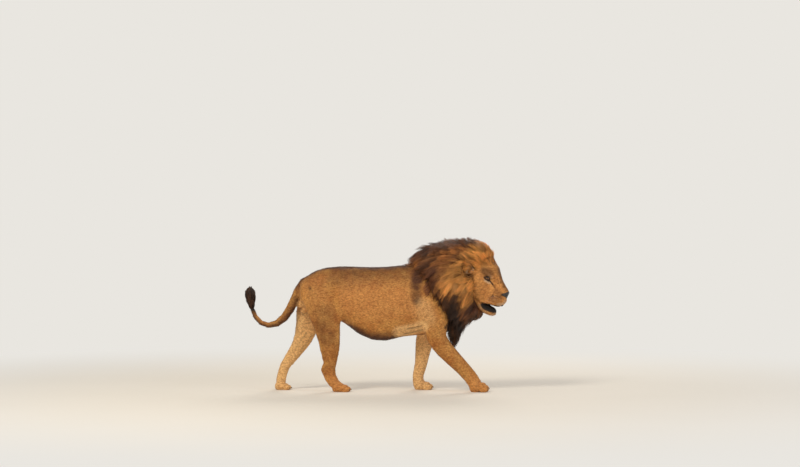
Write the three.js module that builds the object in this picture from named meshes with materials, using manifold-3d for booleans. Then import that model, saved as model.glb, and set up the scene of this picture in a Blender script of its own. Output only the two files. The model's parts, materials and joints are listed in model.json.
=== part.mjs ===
// A male lion in mid stride, life size, as a still museum model.
//
// Millimetres. +X is the way the lion walks, +Y is its left side and +Z is up. The origin is on the
// floor under the middle of the whole animal, and the four paws stand on Z = 0. Every solid reaches
// out to the tips of the coat. The body is modelled whole, as tubes and balls, and parted by thin cuts.

import * as THREE from "three";
import { mergeVertices } from "three/addons/utils/BufferGeometryUtils.js";
import Module from "manifold-3d";

const wasm = await Module();
wasm.setup();

// ---------------------------------------------------------------- driving sizes

const GAP = 0.6; // width of the cuts that part the body
const HUGE = 4000; // side of the blocks that trim a solid to one side of a plane

const HEAD_PITCH = 25; // degrees that the muzzle points down
const HEAD_TURN = 20; // degrees that the face turns to the lion's right
const EYE_LEVEL = [970, -42, 960]; // the head's own origin, between the eyes
const EYE_RADIUS = 19;
const EYE_SPREAD = 55; // from the middle of the head to the middle of an eye

const TAIL_TUFT = { middle: [-1094, 0, 815], radii: [51, 46, 84] };

const LEFT = 1;
const RIGHT = -1;

// ---------------------------------------------------------------- materials

const paint = (color, roughness = 0.9) =>
  new THREE.MeshStandardMaterial({ color, roughness, metalness: 0 });

const COAT = paint("#b07a3c");
const PALE_COAT = paint("#c99a5a");
const MANE = paint("#8a5524");
const DARK_MANE = paint("#3d2413");
const TUFT = paint("#241610");
const NOSE = paint("#1c1413", 0.5);
const EYE = paint("#6b3f14", 0.1);
const CLAW = paint("#4a3a2c", 0.4);

// ---------------------------------------------------------------- shapes

const radians = THREE.MathUtils.degToRad;

// A closed three.js geometry as a solid that can be joined and cut.
function solid(geometry) {
  geometry.deleteAttribute("normal");
  geometry.deleteAttribute("uv");
  const merged = mergeVertices(geometry, 1e-3);
  return new wasm.Manifold(
    new wasm.Mesh({
      numProp: 3,
      vertProperties: merged.attributes.position.array,
      triVerts: new Uint32Array(merged.index.array),
    }),
  );
}

const join = (...solids) => solids.reduce((all, one) => all.add(one));
const cut = (from, ...solids) => solids.reduce((rest, one) => rest.subtract(one), from);

// A ball stretched to three radii, turned by degrees about X, Y and Z, and grown by a margin.
function ball({ at, radii, turn = [0, 0, 0], place, around = 16, rows = 10 }, grow = 0) {
  const geometry = new THREE.SphereGeometry(1, around, rows);
  const rotation = new THREE.Euler(...turn.map(radians));
  geometry.applyMatrix4(
    new THREE.Matrix4().compose(
      new THREE.Vector3(...at),
      new THREE.Quaternion().setFromEuler(rotation),
      new THREE.Vector3(...radii.map((r) => r + grow)),
    ),
  );
  if (place) geometry.applyMatrix4(place);
  return solid(geometry);
}

// A tube along a smooth line. Each station is [x, y, z, depth, width]: a point of the line and the
// section's half sizes, depth in the plane of the walk and width across it. The tube is a sphere
// whose rings are laid along the line, so its ends are round, caps rows long and blunt depths deep.
function tube(
  { stations, around = 16, rows = 1, caps = 2, square = 2, blunt = 0.7, upright, relief, place },
  grow = 0,
) {
  const line = new THREE.CatmullRomCurve3(
    stations.map(([x, y, z]) => new THREE.Vector3(x, y, z)),
    false,
    "catmullrom",
  );
  const girth = new THREE.CatmullRomCurve3(
    stations.map(([, , , depth, width]) => new THREE.Vector3(depth, width, 0)),
    false,
    "catmullrom",
  );
  const bodyRows = Math.round((stations.length - 1) * rows);
  const allRows = bodyRows + 2 * caps;
  const geometry = new THREE.SphereGeometry(1, around, allRows);
  const points = geometry.attributes.position;
  const across = new THREE.Vector3();
  const outward = new THREE.Vector3();
  const along = new THREE.Vector3();

  for (let row = 0; row <= allRows; row++) {
    const share = THREE.MathUtils.clamp((row - caps) / bodyRows, 0, 1);
    const beyond = Math.min(row, allRows - row) / caps;
    const latitude = (Math.min(beyond, 1) * Math.PI) / 2;
    const middle = line.getPoint(share);
    const size = girth.getPoint(share);
    const push = Math.cos(latitude) * (blunt * size.x + grow) * (row < caps ? -1 : 1);
    if (upright) along.set(Math.sign(stations.at(-1)[0] - stations[0][0]), 0, 0);
    else line.getTangent(share, along);
    outward.set(0, 1, 0);
    across.crossVectors(along, outward).normalize();
    outward.crossVectors(across, along);
    for (let column = 0; column <= around; column++) {
      const angle = (column / around) * 2 * Math.PI;
      const bend = relief ? relief(share, angle) : 0;
      const swell = Math.sin(latitude);
      const up = Math.sign(Math.cos(angle)) * Math.abs(Math.cos(angle)) ** (2 / square);
      const side = Math.sign(Math.sin(angle)) * Math.abs(Math.sin(angle)) ** (2 / square);
      const depth = (size.x + grow + bend) * swell * up;
      const width = (size.y + grow + bend) * swell * side;
      const point = middle
        .clone()
        .addScaledVector(along, push)
        .addScaledVector(across, depth)
        .addScaledVector(outward, width);
      points.setXYZ(row * (around + 1) + column, point.x, point.y, point.z);
    }
  }
  if (place) geometry.applyMatrix4(place);
  return solid(geometry);
}

// A closed skin stretched over lines that run from its front to its back along its middle and one
// side: a sphere whose rings pass through the lines. A pad [x, y, z, reach, height] pushes the skin
// out or in round a point, on both sides, and a relief does so along and round the whole of it.
function skinOver({ lines, pads = [], relief, bend, around, rows, place }, grow = 0) {
  const mirrored = lines.slice(1, -1).reverse();
  const ring = [...lines, ...mirrored.map((line) => line.map(([x, y, z]) => [x, -y, z]))];
  const curve = (points, closed) => new THREE.CatmullRomCurve3(points, closed, "catmullrom");
  const rails = ring.map((line) => curve(line.map((point) => new THREE.Vector3(...point)), false));
  const geometry = new THREE.SphereGeometry(1, around, rows);
  const points = geometry.attributes.position;
  const swell = [];
  for (let row = 0; row <= rows; row++) {
    const share = THREE.MathUtils.clamp((row - 1) / (rows - 2), 0, 1);
    const loop = curve(rails.map((rail) => rail.getPoint(share)), true);
    const middle = loop.points.reduce((sum, point) => sum.add(point), new THREE.Vector3());
    middle.divideScalar(ring.length);
    for (let column = 0; column <= around; column++) {
      const turn = ((around - column) % around) / around;
      const point = row === 0 || row === rows ? middle : loop.getPoint(turn);
      points.setXYZ(row * (around + 1) + column, point.x, point.y, point.z);
      swell.push(relief ? relief(share, turn * 2 * Math.PI) : 0);
    }
  }
  geometry.setAttribute("swell", new THREE.Float32BufferAttribute(swell, 1));
  const closed = mergeVertices(geometry.deleteAttribute("normal").deleteAttribute("uv"), 1e-3);
  closed.computeVertexNormals();
  const at = closed.attributes.position;
  const facing = new THREE.Vector3();
  const spot = new THREE.Vector3();
  for (let i = 0; i < at.count; i++) {
    spot.fromBufferAttribute(at, i);
    facing.fromBufferAttribute(closed.attributes.normal, i);
    let push = grow + closed.attributes.swell.getX(i);
    for (const [x, y, z, reach, height] of pads) {
      const away = Math.hypot(spot.x - x, Math.abs(spot.y) - y, spot.z - z) / reach;
      if (away < 1) push += height * (1 - away * away) ** 2;
    }
    spot.addScaledVector(facing, push);
    if (bend) bend(spot);
    at.setXYZ(i, spot.x, spot.y, spot.z);
  }
  if (place) closed.applyMatrix4(place);
  closed.deleteAttribute("swell");
  return solid(closed);
}

// Everything on one side of a plane through a point.
function halfSpace(point, direction) {
  const normal = new THREE.Vector3(...direction).normalize();
  const geometry = new THREE.BoxGeometry(HUGE, HUGE, HUGE);
  geometry.translate(0, 0, HUGE / 2);
  geometry.applyQuaternion(
    new THREE.Quaternion().setFromUnitVectors(new THREE.Vector3(0, 0, 1), normal),
  );
  geometry.translate(...point);
  return solid(geometry);
}

// Parts a solid by a thin cut across it, and gives what lies along the direction and the rest.
function part(whole, point, direction) {
  const normal = new THREE.Vector3(...direction).normalize();
  const back = new THREE.Vector3(...point).addScaledVector(normal, -GAP).toArray();
  return [
    whole.intersect(halfSpace(point, direction)),
    whole.subtract(halfSpace(back, direction)),
  ];
}

// ---------------------------------------------------------------- trunk

// Each station is [x, back line, belly line, half width], from the rump to the chest.
const TRUNK = [
  [-630, 974, 730, 128],
  [-550, 1038, 675, 160],
  [-440, 1072, 635, 171],
  [-300, 1084, 586, 174],
  [-160, 1078, 482, 190],
  [-40, 1075, 434, 205],
  [80, 1077, 428, 211],
  [200, 1092, 457, 206],
  [330, 1100, 472, 198],
  [450, 1104, 480, 186],
  [600, 1080, 560, 140],
];

const trunkTube = {
  stations: TRUNK.map(([x, top, bottom, width]) => [
    x,
    0,
    (top + bottom) / 2,
    (top - bottom) / 2,
    width,
  ]),
  around: 16,
  square: 2.25,
  blunt: 0.35,
  upright: true,
};

// The two pouches that hang behind the thighs.
const POUCHES = [
  { at: [-652, -12, 742], radii: [36, 33, 36], around: 8, rows: 6 },
  { at: [-630, 16, 690], radii: [30, 30, 40], around: 8, rows: 6 },
];

// ---------------------------------------------------------------- tail

const tailTube = {
  stations: [
    [-565, 0, 955, 58, 56],
    [-625, 0, 925, 52, 48],
    [-678, 0, 860, 44, 42],
    [-712, 0, 785, 42, 40],
    [-750, 0, 710, 40, 38],
    [-800, 0, 632, 37, 36],
    [-865, 0, 582, 31, 31],
    [-935, 0, 565, 25, 26],
    [-1000, 0, 585, 23, 24],
    [-1048, 0, 635, 21, 22],
    [-1076, 0, 700, 20, 21],
    [-1086, 0, 760, 18, 18],
  ],
  around: 10,
  caps: 1,
};

const tuftBall = {
  at: TAIL_TUFT.middle,
  radii: TAIL_TUFT.radii,
  turn: [0, -6, 0],
  around: 10,
  rows: 8,
};
const TUFT_STEM = {
  stations: [
    [-1080, 0, 700, 25, 25],
    [-1090, 0, 770, 40, 38],
  ],
  around: 10,
  caps: 1,
};
const wholeTuft = (grow) => join(ball(tuftBall, grow), tube(TUFT_STEM, grow));

// ---------------------------------------------------------------- legs

// Each leg is one tube from the shoulder or hip to the paw. Stations are [x, y, z, depth, width]
// with y counted outwards from the middle of the body. A paw is [middle, half length, height] of the
// palm, the place of the longest toe's tip, the height of the toes and the width across them.
const LEGS = {
  fore_right: {
    side: RIGHT,
    stations: [
      [432, 108, 940, 104, 64],
      [468, 124, 820, 134, 78],
      [500, 132, 690, 141, 81],
      [502, 140, 568, 124, 76],
      [512, 144, 462, 92, 70],
      [580, 146, 366, 78, 60],
      [660, 145, 281, 68, 52],
      [733, 142, 206, 61, 49],
      [794, 140, 137, 58, 51],
      [828, 140, 90, 58, 54],
    ],
    elbow: { at: [510, 0, 440], direction: [0.5, 0, -1] },
    wrist: { at: [772, 0, 162], direction: [0.85, 0, -1] },
    paw: { palm: [846, 64, 132], toeTip: 955, toeHeight: 86, spread: 140, width: 128 },
  },
  fore_left: {
    side: LEFT,
    stations: [
      [432, 108, 940, 104, 64],
      [472, 124, 810, 130, 78],
      [470, 130, 670, 125, 77],
      [441, 132, 550, 106, 70],
      [414, 132, 430, 85, 62],
      [398, 130, 320, 68, 52],
      [381, 127, 215, 56, 46],
      [358, 122, 120, 50, 47],
      [358, 122, 60, 50, 52],
    ],
    elbow: { at: [425, 0, 470], direction: [0.1, 0, -1] },
    wrist: { at: [365, 0, 135], direction: [0.1, 0, -1] },
    paw: { palm: [375, 64, 94], toeTip: 478, toeHeight: 68, spread: 122, width: 124 },
  },
  hind_right: {
    side: RIGHT,
    stations: [
      [-503, 86, 915, 118, 62],
      [-488, 102, 795, 156, 80],
      [-457, 108, 675, 148, 82],
      [-424, 116, 545, 127, 72],
      [-407, 118, 425, 98, 56],
      [-405, 118, 315, 74, 45],
      [-405, 118, 246, 57, 38],
      [-420, 118, 190, 62, 37],
      [-398, 118, 120, 50, 40],
      [-366, 118, 70, 46, 44],
    ],
    elbow: { at: [-415, 0, 500], direction: [0.1, 0, -1] },
    wrist: { at: [-415, 0, 205], direction: [0.35, 0, -1] },
    paw: { palm: [-330, 62, 90], toeTip: -230, toeHeight: 60, spread: 118, width: 110 },
  },
  hind_left: {
    side: LEFT,
    stations: [
      [-520, 86, 910, 118, 62],
      [-548, 102, 780, 147, 80],
      [-575, 108, 650, 132, 78],
      [-607, 110, 540, 107, 67],
      [-648, 110, 436, 81, 54],
      [-712, 110, 338, 63, 45],
      [-766, 108, 262, 53, 39],
      [-802, 106, 195, 46, 36],
      [-824, 104, 125, 44, 38],
      [-834, 104, 70, 46, 43],
    ],
    elbow: { at: [-612, 0, 525], direction: [-0.45, 0, -1] },
    wrist: { at: [-790, 0, 222], direction: [-0.45, 0, -1] },
    paw: { palm: [-838, 54, 78], toeTip: -752, toeHeight: 56, spread: 104, width: 106 },
  },
};

const TOES = [-0.37, -0.13, 0.13, 0.37]; // sideways places of the toes, in widths of the paw
const TOE_WIDTH = 0.16;
const OUTER_REACH = 12; // how far the outer toes end behind the middle ones

// A paw: a palm, four toes and the claw of each toe.
function pawShapes({ side, paw }) {
  const { palm, toeTip, toeHeight, spread, width } = paw;
  const [middle, length, height] = palm;
  const y = side * spread;
  const tips = TOES.map((place) => (Math.abs(place) > 0.3 ? toeTip - OUTER_REACH : toeTip));
  return {
    palm: {
      at: [middle, y, height / 2 - 6],
      radii: [length, width * 0.48, height / 2 + 6],
      around: 8,
      rows: 6,
    },
    toes: TOES.map((place, toe) => ({
      at: [(middle + tips[toe]) / 2 + 12, y + place * width, toeHeight * 0.42],
      radii: [(tips[toe] - middle) / 2 - 12, TOE_WIDTH * width, toeHeight * 0.58],
      turn: [0, 8, 0],
      around: 6,
      rows: 4,
    })),
    claws: TOES.map((place, toe) => ({
      stations: [
        [tips[toe] + 4, y + place * width, toeHeight * 0.4, 4, 3],
        [tips[toe] + 10, y + place * width, toeHeight * 0.4 - 9, 1.6, 1.2],
      ],
      around: 4,
      caps: 1,
    })),
  };
}

const legTube = ({ side, stations }) => ({
  stations: stations.map(([x, y, z, depth, width]) => [x, side * y, z, depth, width]),
  around: 10,
  caps: 1,
  blunt: 0.45,
  square: 2.1,
});

// The whole leg above the floor, from the shoulder or hip to the toes.
function wholeLeg(leg) {
  const { palm, toes } = pawShapes(leg);
  return join(tube(legTube(leg)), ball(palm), ...toes.map((toe) => ball(toe))).intersect(
    halfSpace([0, 0, 0], [0, 0, 1]),
  );
}

// The block that parts a leg from the trunk: the side outline of the leg, from near the middle of
// the body outwards.
const LEG_ROOT = 48;
function legBlock({ side, stations }, grow) {
  const line = stations.map(([x, , z]) => new THREE.Vector2(x, z));
  const along = line.map((_, i) =>
    line[Math.min(i + 1, line.length - 1)].clone().sub(line[Math.max(i - 1, 0)]).normalize(),
  );
  const edge = (turn) =>
    line.map((point, i) => {
      const out = new THREE.Vector2(-along[i].y, along[i].x).multiplyScalar(turn);
      return point.clone().addScaledVector(out, stations[i][3] + 2 + grow);
    });
  const top = line[0].clone().addScaledVector(along[0], -stations[0][3] * 0.45 - 2 - grow);
  const outline = new THREE.Shape([top, ...edge(1), ...edge(-1).reverse()]);
  const depth = 400;
  const geometry = new THREE.ExtrudeGeometry(outline, { depth, bevelEnabled: false });
  geometry.rotateX(Math.PI / 2); // the outline now stands in X and Z, and its depth runs to -Y
  geometry.translate(0, side === LEFT ? depth + LEG_ROOT - grow : -LEG_ROOT + grow, 0);
  return solid(geometry);
}

// ---------------------------------------------------------------- head

// The head is drawn in its own frame: x along the palate to the nose, z up, origin between the eyes.
const headPlace = new THREE.Matrix4().compose(
  new THREE.Vector3(...EYE_LEVEL),
  new THREE.Quaternion().setFromEuler(
    new THREE.Euler(0, radians(HEAD_PITCH), radians(-HEAD_TURN), "ZYX"),
  ),
  new THREE.Vector3(1, 1, 1),
);
const bothSides = (shape) => [LEFT, RIGHT].map((side) => shape(side));

// Six lines shape the face, each from the nose back to the nape: along the top, along the edge of
// the bridge, past the eye, over the cheek, along the lip and along the palate. Points are
// [forward, sideways, up].
const HEAD_LINES = [
  [
    [204, 0, -66], [202, 0, -24], [182, 0, -3], [145, 0, 21], [106, 0, 50], [80, 0, 82],
    [48, 0, 113], [12, 0, 138], [-30, 0, 154], [-90, 0, 152], [-150, 0, 128], [-190, 0, 70],
  ],
  [
    [200, 30, -70], [196, 34, -44], [176, 34, -22], [141, 32, 1], [105, 34, 27], [78, 40, 54],
    [46, 50, 80], [12, 64, 98], [-30, 82, 108], [-90, 98, 104], [-150, 90, 84], [-190, 60, 50],
  ],
  [
    [197, 44, -92], [189, 47, -82], [168, 45, -68], [135, 41, -50], [101, 40, -30], [72, 41, -10],
    [40, 45, 6], [6, 60, 20], [-28, 84, 28], [-85, 116, 22], [-150, 112, 4], [-190, 70, 0],
  ],
  [
    [205, 27, -116], [192, 55, -118], [166, 67, -118], [135, 67, -116], [101, 62, -108],
    [70, 62, -96], [36, 72, -84], [0, 92, -72], [-36, 113, -64], [-90, 132, -62],
    [-150, 116, -72], [-190, 70, -70],
  ],
  [
    [199, 14, -148], [190, 38, -166], [166, 50, -177], [135, 55, -182], [101, 57, -186],
    [70, 59, -191], [40, 64, -198], [4, 80, -190], [-32, 96, -172], [-90, 108, -156],
    [-150, 92, -146], [-190, 60, -130],
  ],
  [
    [196, 0, -136], [182, 0, -150], [160, 0, -152], [130, 0, -152], [100, 0, -152], [70, 0, -154],
    [40, 0, -160], [4, 0, -170], [-32, 0, -172], [-90, 0, -176], [-150, 0, -160], [-190, 0, -130],
  ],
];
const PADS = [
  [6, 62, 48, 34, 7], // brows
  [-34, 108, -40, 46, 6], // cheek bones
  [-60, 116, -120, 96, 16], // cheeks
  [160, 58, -120, 34, 6], // whisker pads
  [24, 44, 8, 20, -5], // corners by the eyes
  [-30, 0, 156, 26, -4], // furrow of the forehead
];
const headSkin = { lines: HEAD_LINES, pads: PADS, around: 20, rows: 20, place: headPlace };
// The lower jaw hangs a little open. Stations run from the throat to the chin.
const jawTube = {
  stations: [
    [-90, 0, -175, 62, 88],
    [-20, 0, -212, 58, 80],
    [50, 0, -236, 52, 68],
    [110, 0, -240, 47, 56],
    [152, 0, -230, 40, 45],
  ],
  around: 10,
  square: 2.3,
  place: headPlace,
};

// The slot between the lips.
const mouthTube = {
  stations: [
    [48, 0, -206, 6, 120],
    [95, 0, -194, 9, 120],
    [150, 0, -186, 8, 120],
    [240, 0, -176, 8, 120],
  ],
  around: 8,
  caps: 1,
  blunt: 0.3,
  place: headPlace,
};

const noseBall = {
  at: [194, 0, -52],
  radii: [27, 38, 28],
  turn: [0, 24, 0],
  place: headPlace,
  around: 10,
  rows: 6,
};

const eyeBall = (side) => ({
  at: [-8, side * EYE_SPREAD, 12],
  radii: [EYE_RADIUS, EYE_RADIUS, EYE_RADIUS],
  place: headPlace,
  around: 8,
  rows: 6,
});
const EYE_SOCKETS = bothSides((side) => ({
  at: [12, side * 70, 12],
  radii: [15, 32, 18],
  turn: [0, 0, side * 42],
  place: headPlace,
  around: 10,
  rows: 5,
}));

const earBall = (side) => ({
  at: [-164, side * 154, 16],
  radii: [24, 46, 52],
  turn: [side * -16, 18, side * 44],
  place: headPlace,
  around: 10,
  rows: 8,
});
const earHollow = (side) => ({
  at: [-146, side * 172, 21],
  radii: [20, 33, 39],
  turn: [side * -16, 18, side * 44],
  place: headPlace,
  around: 8,
  rows: 6,
});

// The back of the head is inside the neck and the mane, so it belongs to them.
const NAPE = -115; // how far behind the eyes the head is parted from the neck
const wholeHead = (grow) => {
  const nape = new THREE.Vector3(NAPE - grow, 0, 0).applyMatrix4(headPlace).toArray();
  const forward = new THREE.Vector3(1, 0, 0).transformDirection(headPlace).toArray();
  return join(skinOver(headSkin, grow), tube(jawTube, grow)).intersect(
    halfSpace(nape, forward),
  );
};

// ---------------------------------------------------------------- mane

// The neck doesn't show, so the neck and the mane on it are one solid. It is drawn for a head that
// looks straight ahead. Seven lines run from the edge of the face back to the withers and the
// shoulder, from the crest round the left side to the beard.
const MANE_LINES = [
  [
    [1000, 0, 1096], [1024, 0, 1142], [1012, 0, 1196], [968, 0, 1264], [880, 0, 1300],
    [760, 0, 1308], [620, 0, 1303], [500, 0, 1278], [400, 0, 1234], [318, 0, 1178], [222, 0, 1086],
  ],
  [
    [958, 62, 1078], [982, 92, 1126], [964, 120, 1186], [906, 137, 1234], [800, 146, 1262],
    [680, 155, 1262], [560, 158, 1240], [460, 144, 1206], [370, 112, 1165], [315, 72, 1120],
    [240, 26, 1074],
  ],
  [
    [886, 100, 1022], [900, 126, 1040], [876, 146, 1062], [822, 172, 1088], [740, 216, 1106],
    [640, 250, 1110], [540, 250, 1098], [455, 220, 1080], [385, 168, 1066], [325, 100, 1070],
    [262, 40, 1060],
  ],
  [
    [872, 98, 940], [901, 138, 945], [894, 192, 950], [840, 224, 955], [755, 252, 955],
    [660, 276, 955], [560, 273, 960], [480, 236, 965], [410, 190, 980], [350, 130, 1010],
    [300, 50, 1050],
  ],
  [
    [866, 82, 842], [898, 122, 832], [892, 176, 820], [850, 212, 815], [770, 240, 808],
    [680, 260, 800], [600, 254, 790], [540, 220, 790], [490, 170, 820], [440, 110, 860],
    [400, 50, 900],
  ],
  [
    [876, 46, 768], [915, 80, 740], [908, 112, 705], [860, 140, 686], [800, 164, 668],
    [730, 178, 650], [670, 178, 640], [610, 150, 650], [560, 110, 690], [510, 70, 740],
    [470, 30, 800],
  ],
  [
    [905, 0, 694], [930, 0, 654], [908, 0, 622], [862, 0, 606], [810, 0, 592], [750, 0, 586],
    [690, 0, 592], [630, 0, 612], [580, 0, 660], [530, 0, 720], [480, 0, 800],
  ],
];
const LOCKS = 9; // ridges of hair round the mane
const LOCK_DEPTH = 6;
const NECK_TURN = [720, 880]; // the neck turns between these two places
const NECK_PIVOT = 855;

function turnNeck(spot) {
  const turn = radians(-HEAD_TURN) * THREE.MathUtils.smoothstep(spot.x, ...NECK_TURN);
  const reach = spot.x - NECK_PIVOT;
  const [x, y] = [
    NECK_PIVOT + reach * Math.cos(turn) - spot.y * Math.sin(turn),
    reach * Math.sin(turn) + spot.y * Math.cos(turn),
  ];
  spot.set(x, y, spot.z);
}

const maneSkin = {
  lines: MANE_LINES,
  pads: [[846, 168, 1052, 84, -30]], // the hair parts round the ears
  around: 30,
  rows: 17,
  bend: turnNeck,
  relief: (share, angle) =>
    LOCK_DEPTH * Math.sin(LOCKS * angle + 6 * Math.sin(5 * share)) * Math.sin(Math.PI * share),
};

// The chest mane hangs between the forelegs.
const chestManeTube = {
  stations: [
    [625, 0, 800, 105, 150],
    [650, 0, 700, 98, 132],
    [662, 0, 600, 84, 104],
    [662, 0, 520, 60, 72],
    [656, 0, 460, 28, 36],
  ],
  around: 16,
  relief: (share, angle) => 6 * Math.sin(4 * angle),
};

// ---------------------------------------------------------------- assembly

const lion = new THREE.Group();
lion.name = "lion";

function add(name, shape, material) {
  const mesh = shape.getMesh();
  const geometry = new THREE.BufferGeometry();
  geometry.setAttribute("position", new THREE.BufferAttribute(mesh.vertProperties, 3));
  geometry.setIndex(new THREE.BufferAttribute(mesh.triVerts, 1));
  const node = new THREE.Mesh(geometry, material);
  node.name = name;
  lion.add(node);
}

// Head, with its eyes, ears and nose.
const SIDES = [["left", LEFT], ["right", RIGHT]];
const balls = (shape, grow) => bothSides((side) => ball(shape(side), grow));
const face = cut(
  wholeHead(0),
  tube(mouthTube),
  ...EYE_SOCKETS.map((socket) => ball(socket)),
  ...balls(eyeBall, GAP),
  ball(noseBall, GAP),
);
add("head", face, COAT);
add("nose", ball(noseBall), NOSE);
for (const [name, side] of SIDES) {
  add(`eye_${name}`, ball(eyeBall(side)), EYE);
  add(`ear_${name}`, cut(ball(earBall(side)), ball(earHollow(side)), wholeHead(GAP)), COAT);
}

// Trunk and tail, without what the legs take of them.
const legs = Object.values(LEGS);
const everyLeg = legs.map((leg) => tube(legTube(leg), GAP));
const trunkRound = tube(trunkTube);
const pouches = POUCHES.map((pouch) => cut(ball(pouch), ...everyLeg));
const trunk = cut(
  join(trunkRound, ...pouches),
  tube(tailTube, GAP),
  ...legs.map((leg) => legBlock(leg, GAP)),
);
add("trunk", trunk, COAT);
add("tail", cut(tube(tailTube), wholeTuft(GAP)), COAT);
add("tail_tuft", wholeTuft(0), TUFT);

// Mane and chest mane.
const body = [tube(trunkTube, GAP), ...everyLeg];
const mane = cut(skinOver(maneSkin), wholeHead(GAP), ...balls(earBall, GAP), ...body);
add("mane", mane, MANE);
add("chest_mane", cut(tube(chestManeTube), skinOver(maneSkin, GAP), ...body), DARK_MANE);

// Legs, each parted at the elbow or knee and at the wrist or hock.
for (const [name, leg] of Object.entries(LEGS)) {
  const [below, above] = part(wholeLeg(leg), leg.elbow.at, leg.elbow.direction);
  const [foot, lower] = part(below, leg.wrist.at, leg.wrist.direction);
  const block = legBlock(leg, 0);
  const besideBlock = tube(trunkTube, GAP).subtract(block);
  const upper = join(above, trunkRound.intersect(block));
  add(`${name}_upper`, cut(upper, besideBlock, tube(tailTube, GAP)), COAT);
  add(`${name}_lower`, lower, COAT);
  add(`${name}_paw`, foot, PALE_COAT);
  pawShapes(leg).claws.forEach((claw, toe) => add(`${name}_claw_${toe + 1}`, tube(claw), CLAW));
}

export default lion;
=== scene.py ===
# %% [markdown]
# A museum lion, dressed in Blender. The frame is the carved lion that comes from the CAD model: every
# solid in it already has its place, in metres, with the floor at height zero and the nose along +X.
# This script grows one skin over those solids, then sets eyes, nose, whiskers and a coat of fur on it.

# %% Open the frame
import json
import math

import bmesh
import bpy
import numpy as np
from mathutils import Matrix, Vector, noise
from mathutils.bvhtree import BVHTree
from mathutils.kdtree import KDTree

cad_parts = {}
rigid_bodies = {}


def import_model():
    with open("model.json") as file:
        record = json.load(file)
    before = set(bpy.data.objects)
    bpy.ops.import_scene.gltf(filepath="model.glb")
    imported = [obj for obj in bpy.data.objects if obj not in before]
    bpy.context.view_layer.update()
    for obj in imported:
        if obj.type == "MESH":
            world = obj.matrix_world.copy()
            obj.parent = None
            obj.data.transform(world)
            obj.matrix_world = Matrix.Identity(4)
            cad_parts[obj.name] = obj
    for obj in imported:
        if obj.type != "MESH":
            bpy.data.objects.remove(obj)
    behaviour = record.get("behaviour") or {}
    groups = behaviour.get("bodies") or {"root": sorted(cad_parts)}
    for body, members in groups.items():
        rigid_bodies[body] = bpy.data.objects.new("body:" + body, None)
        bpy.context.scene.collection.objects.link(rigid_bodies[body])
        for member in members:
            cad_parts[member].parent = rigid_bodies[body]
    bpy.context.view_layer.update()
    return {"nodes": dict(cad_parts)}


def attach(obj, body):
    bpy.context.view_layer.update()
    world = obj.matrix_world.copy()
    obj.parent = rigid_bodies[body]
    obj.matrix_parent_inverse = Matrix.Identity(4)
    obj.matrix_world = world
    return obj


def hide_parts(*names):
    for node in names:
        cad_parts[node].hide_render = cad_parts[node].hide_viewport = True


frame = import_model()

MM = 0.001  # the measures below are millimetres, and Blender's are metres
nodes = frame["nodes"]
chance = np.random.default_rng(1311)

# %% [markdown]
# Fur, folds and markings all need the same few sums: how far a point is from a line drawn through a
# few places, and a soft step from none to all. They work on thousands of points at once, so they are
# written for numpy arrays and take millimetres.

# %% Sums on many points
def distance_to(points, line):
    """How far each point is from a line through the given places."""
    line = np.array(line, float)
    if line.ndim == 1:
        return np.linalg.norm(points - line, axis=1)
    nearest = np.full(len(points), 1e9)
    for start, end in zip(line[:-1], line[1:]):
        along = end - start
        share = np.clip((points - start) @ along / (along @ along), 0, 1)
        nearest = np.minimum(nearest, np.linalg.norm(points - start - share[:, None] * along, axis=1))
    return nearest


def soft(low, high, value):
    """0 below low, 1 above high, and a smooth step between."""
    share = np.clip((value - low) / (high - low), 0, 1)
    return share * share * (3 - 2 * share)


def hump(distance, radius):
    return np.exp(-((distance / radius) ** 2))


def unit(vectors):
    return vectors / np.maximum(np.linalg.norm(vectors, axis=-1, keepdims=True), 1e-9)


def near(points, line, radius, edge):
    """1 within radius of the line, and 0 past radius + edge."""
    return 1 - soft(radius, radius + edge, distance_to(points, line))


# %% [markdown]
# The head is turned and dropped, so lips, eyes and nose are easier to place along its own directions:
# forward along the muzzle, to the lion's left, and up. One function goes into that frame, and one back.

# %% The head's own directions
HEAD_MIDDLE = np.array([970.0, -42.0, 960.0])  # between the eyes
HEAD_TURN, HEAD_DROP = math.radians(20), math.radians(25)


def head_axes():
    """Forward along the muzzle, to the lion's left, and up from the muzzle."""
    level = np.array([math.cos(HEAD_TURN), -math.sin(HEAD_TURN), 0])
    left = np.array([math.sin(HEAD_TURN), math.cos(HEAD_TURN), 0])
    up = np.array([0, 0, 1.0])
    forward = level * math.cos(HEAD_DROP) - up * math.sin(HEAD_DROP)
    return np.array([forward, left, level * math.sin(HEAD_DROP) + up * math.cos(HEAD_DROP)])


HEAD = head_axes()


def to_head(points):
    return (points - HEAD_MIDDLE) @ HEAD.T


def from_head(points):
    return np.asarray(points, float) @ HEAD + HEAD_MIDDLE


print("the muzzle points along", HEAD[0].round(2))

# %% [markdown]
# Blender gives the points of a mesh one by one or all at once. All at once, as an array, is far
# quicker for fur, so these helpers read, move and smooth a mesh in that way, in millimetres.

# %% Reading, moving and smoothing a mesh
def put(name, mesh):
    made = bpy.data.objects.new(name, mesh)
    bpy.context.scene.collection.objects.link(made)
    return made


def finished(made):
    """Leaves the object with the mesh that its modifiers make."""
    graph = bpy.context.evaluated_depsgraph_get()
    mesh = bpy.data.meshes.new_from_object(made.evaluated_get(graph))
    made.modifiers.clear()
    old, made.data = made.data, mesh
    bpy.data.meshes.remove(old)
    return made


def places(mesh):
    flat = np.empty(len(mesh.vertices) * 3)
    mesh.vertices.foreach_get("co", flat)
    return flat.reshape(-1, 3) / MM


def outward(mesh):
    flat = np.empty(len(mesh.vertices) * 3)
    mesh.vertex_normals.foreach_get("vector", flat)
    return flat.reshape(-1, 3)


def move_to(mesh, points):
    mesh.vertices.foreach_set("co", (points * MM).ravel())
    mesh.update()


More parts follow.
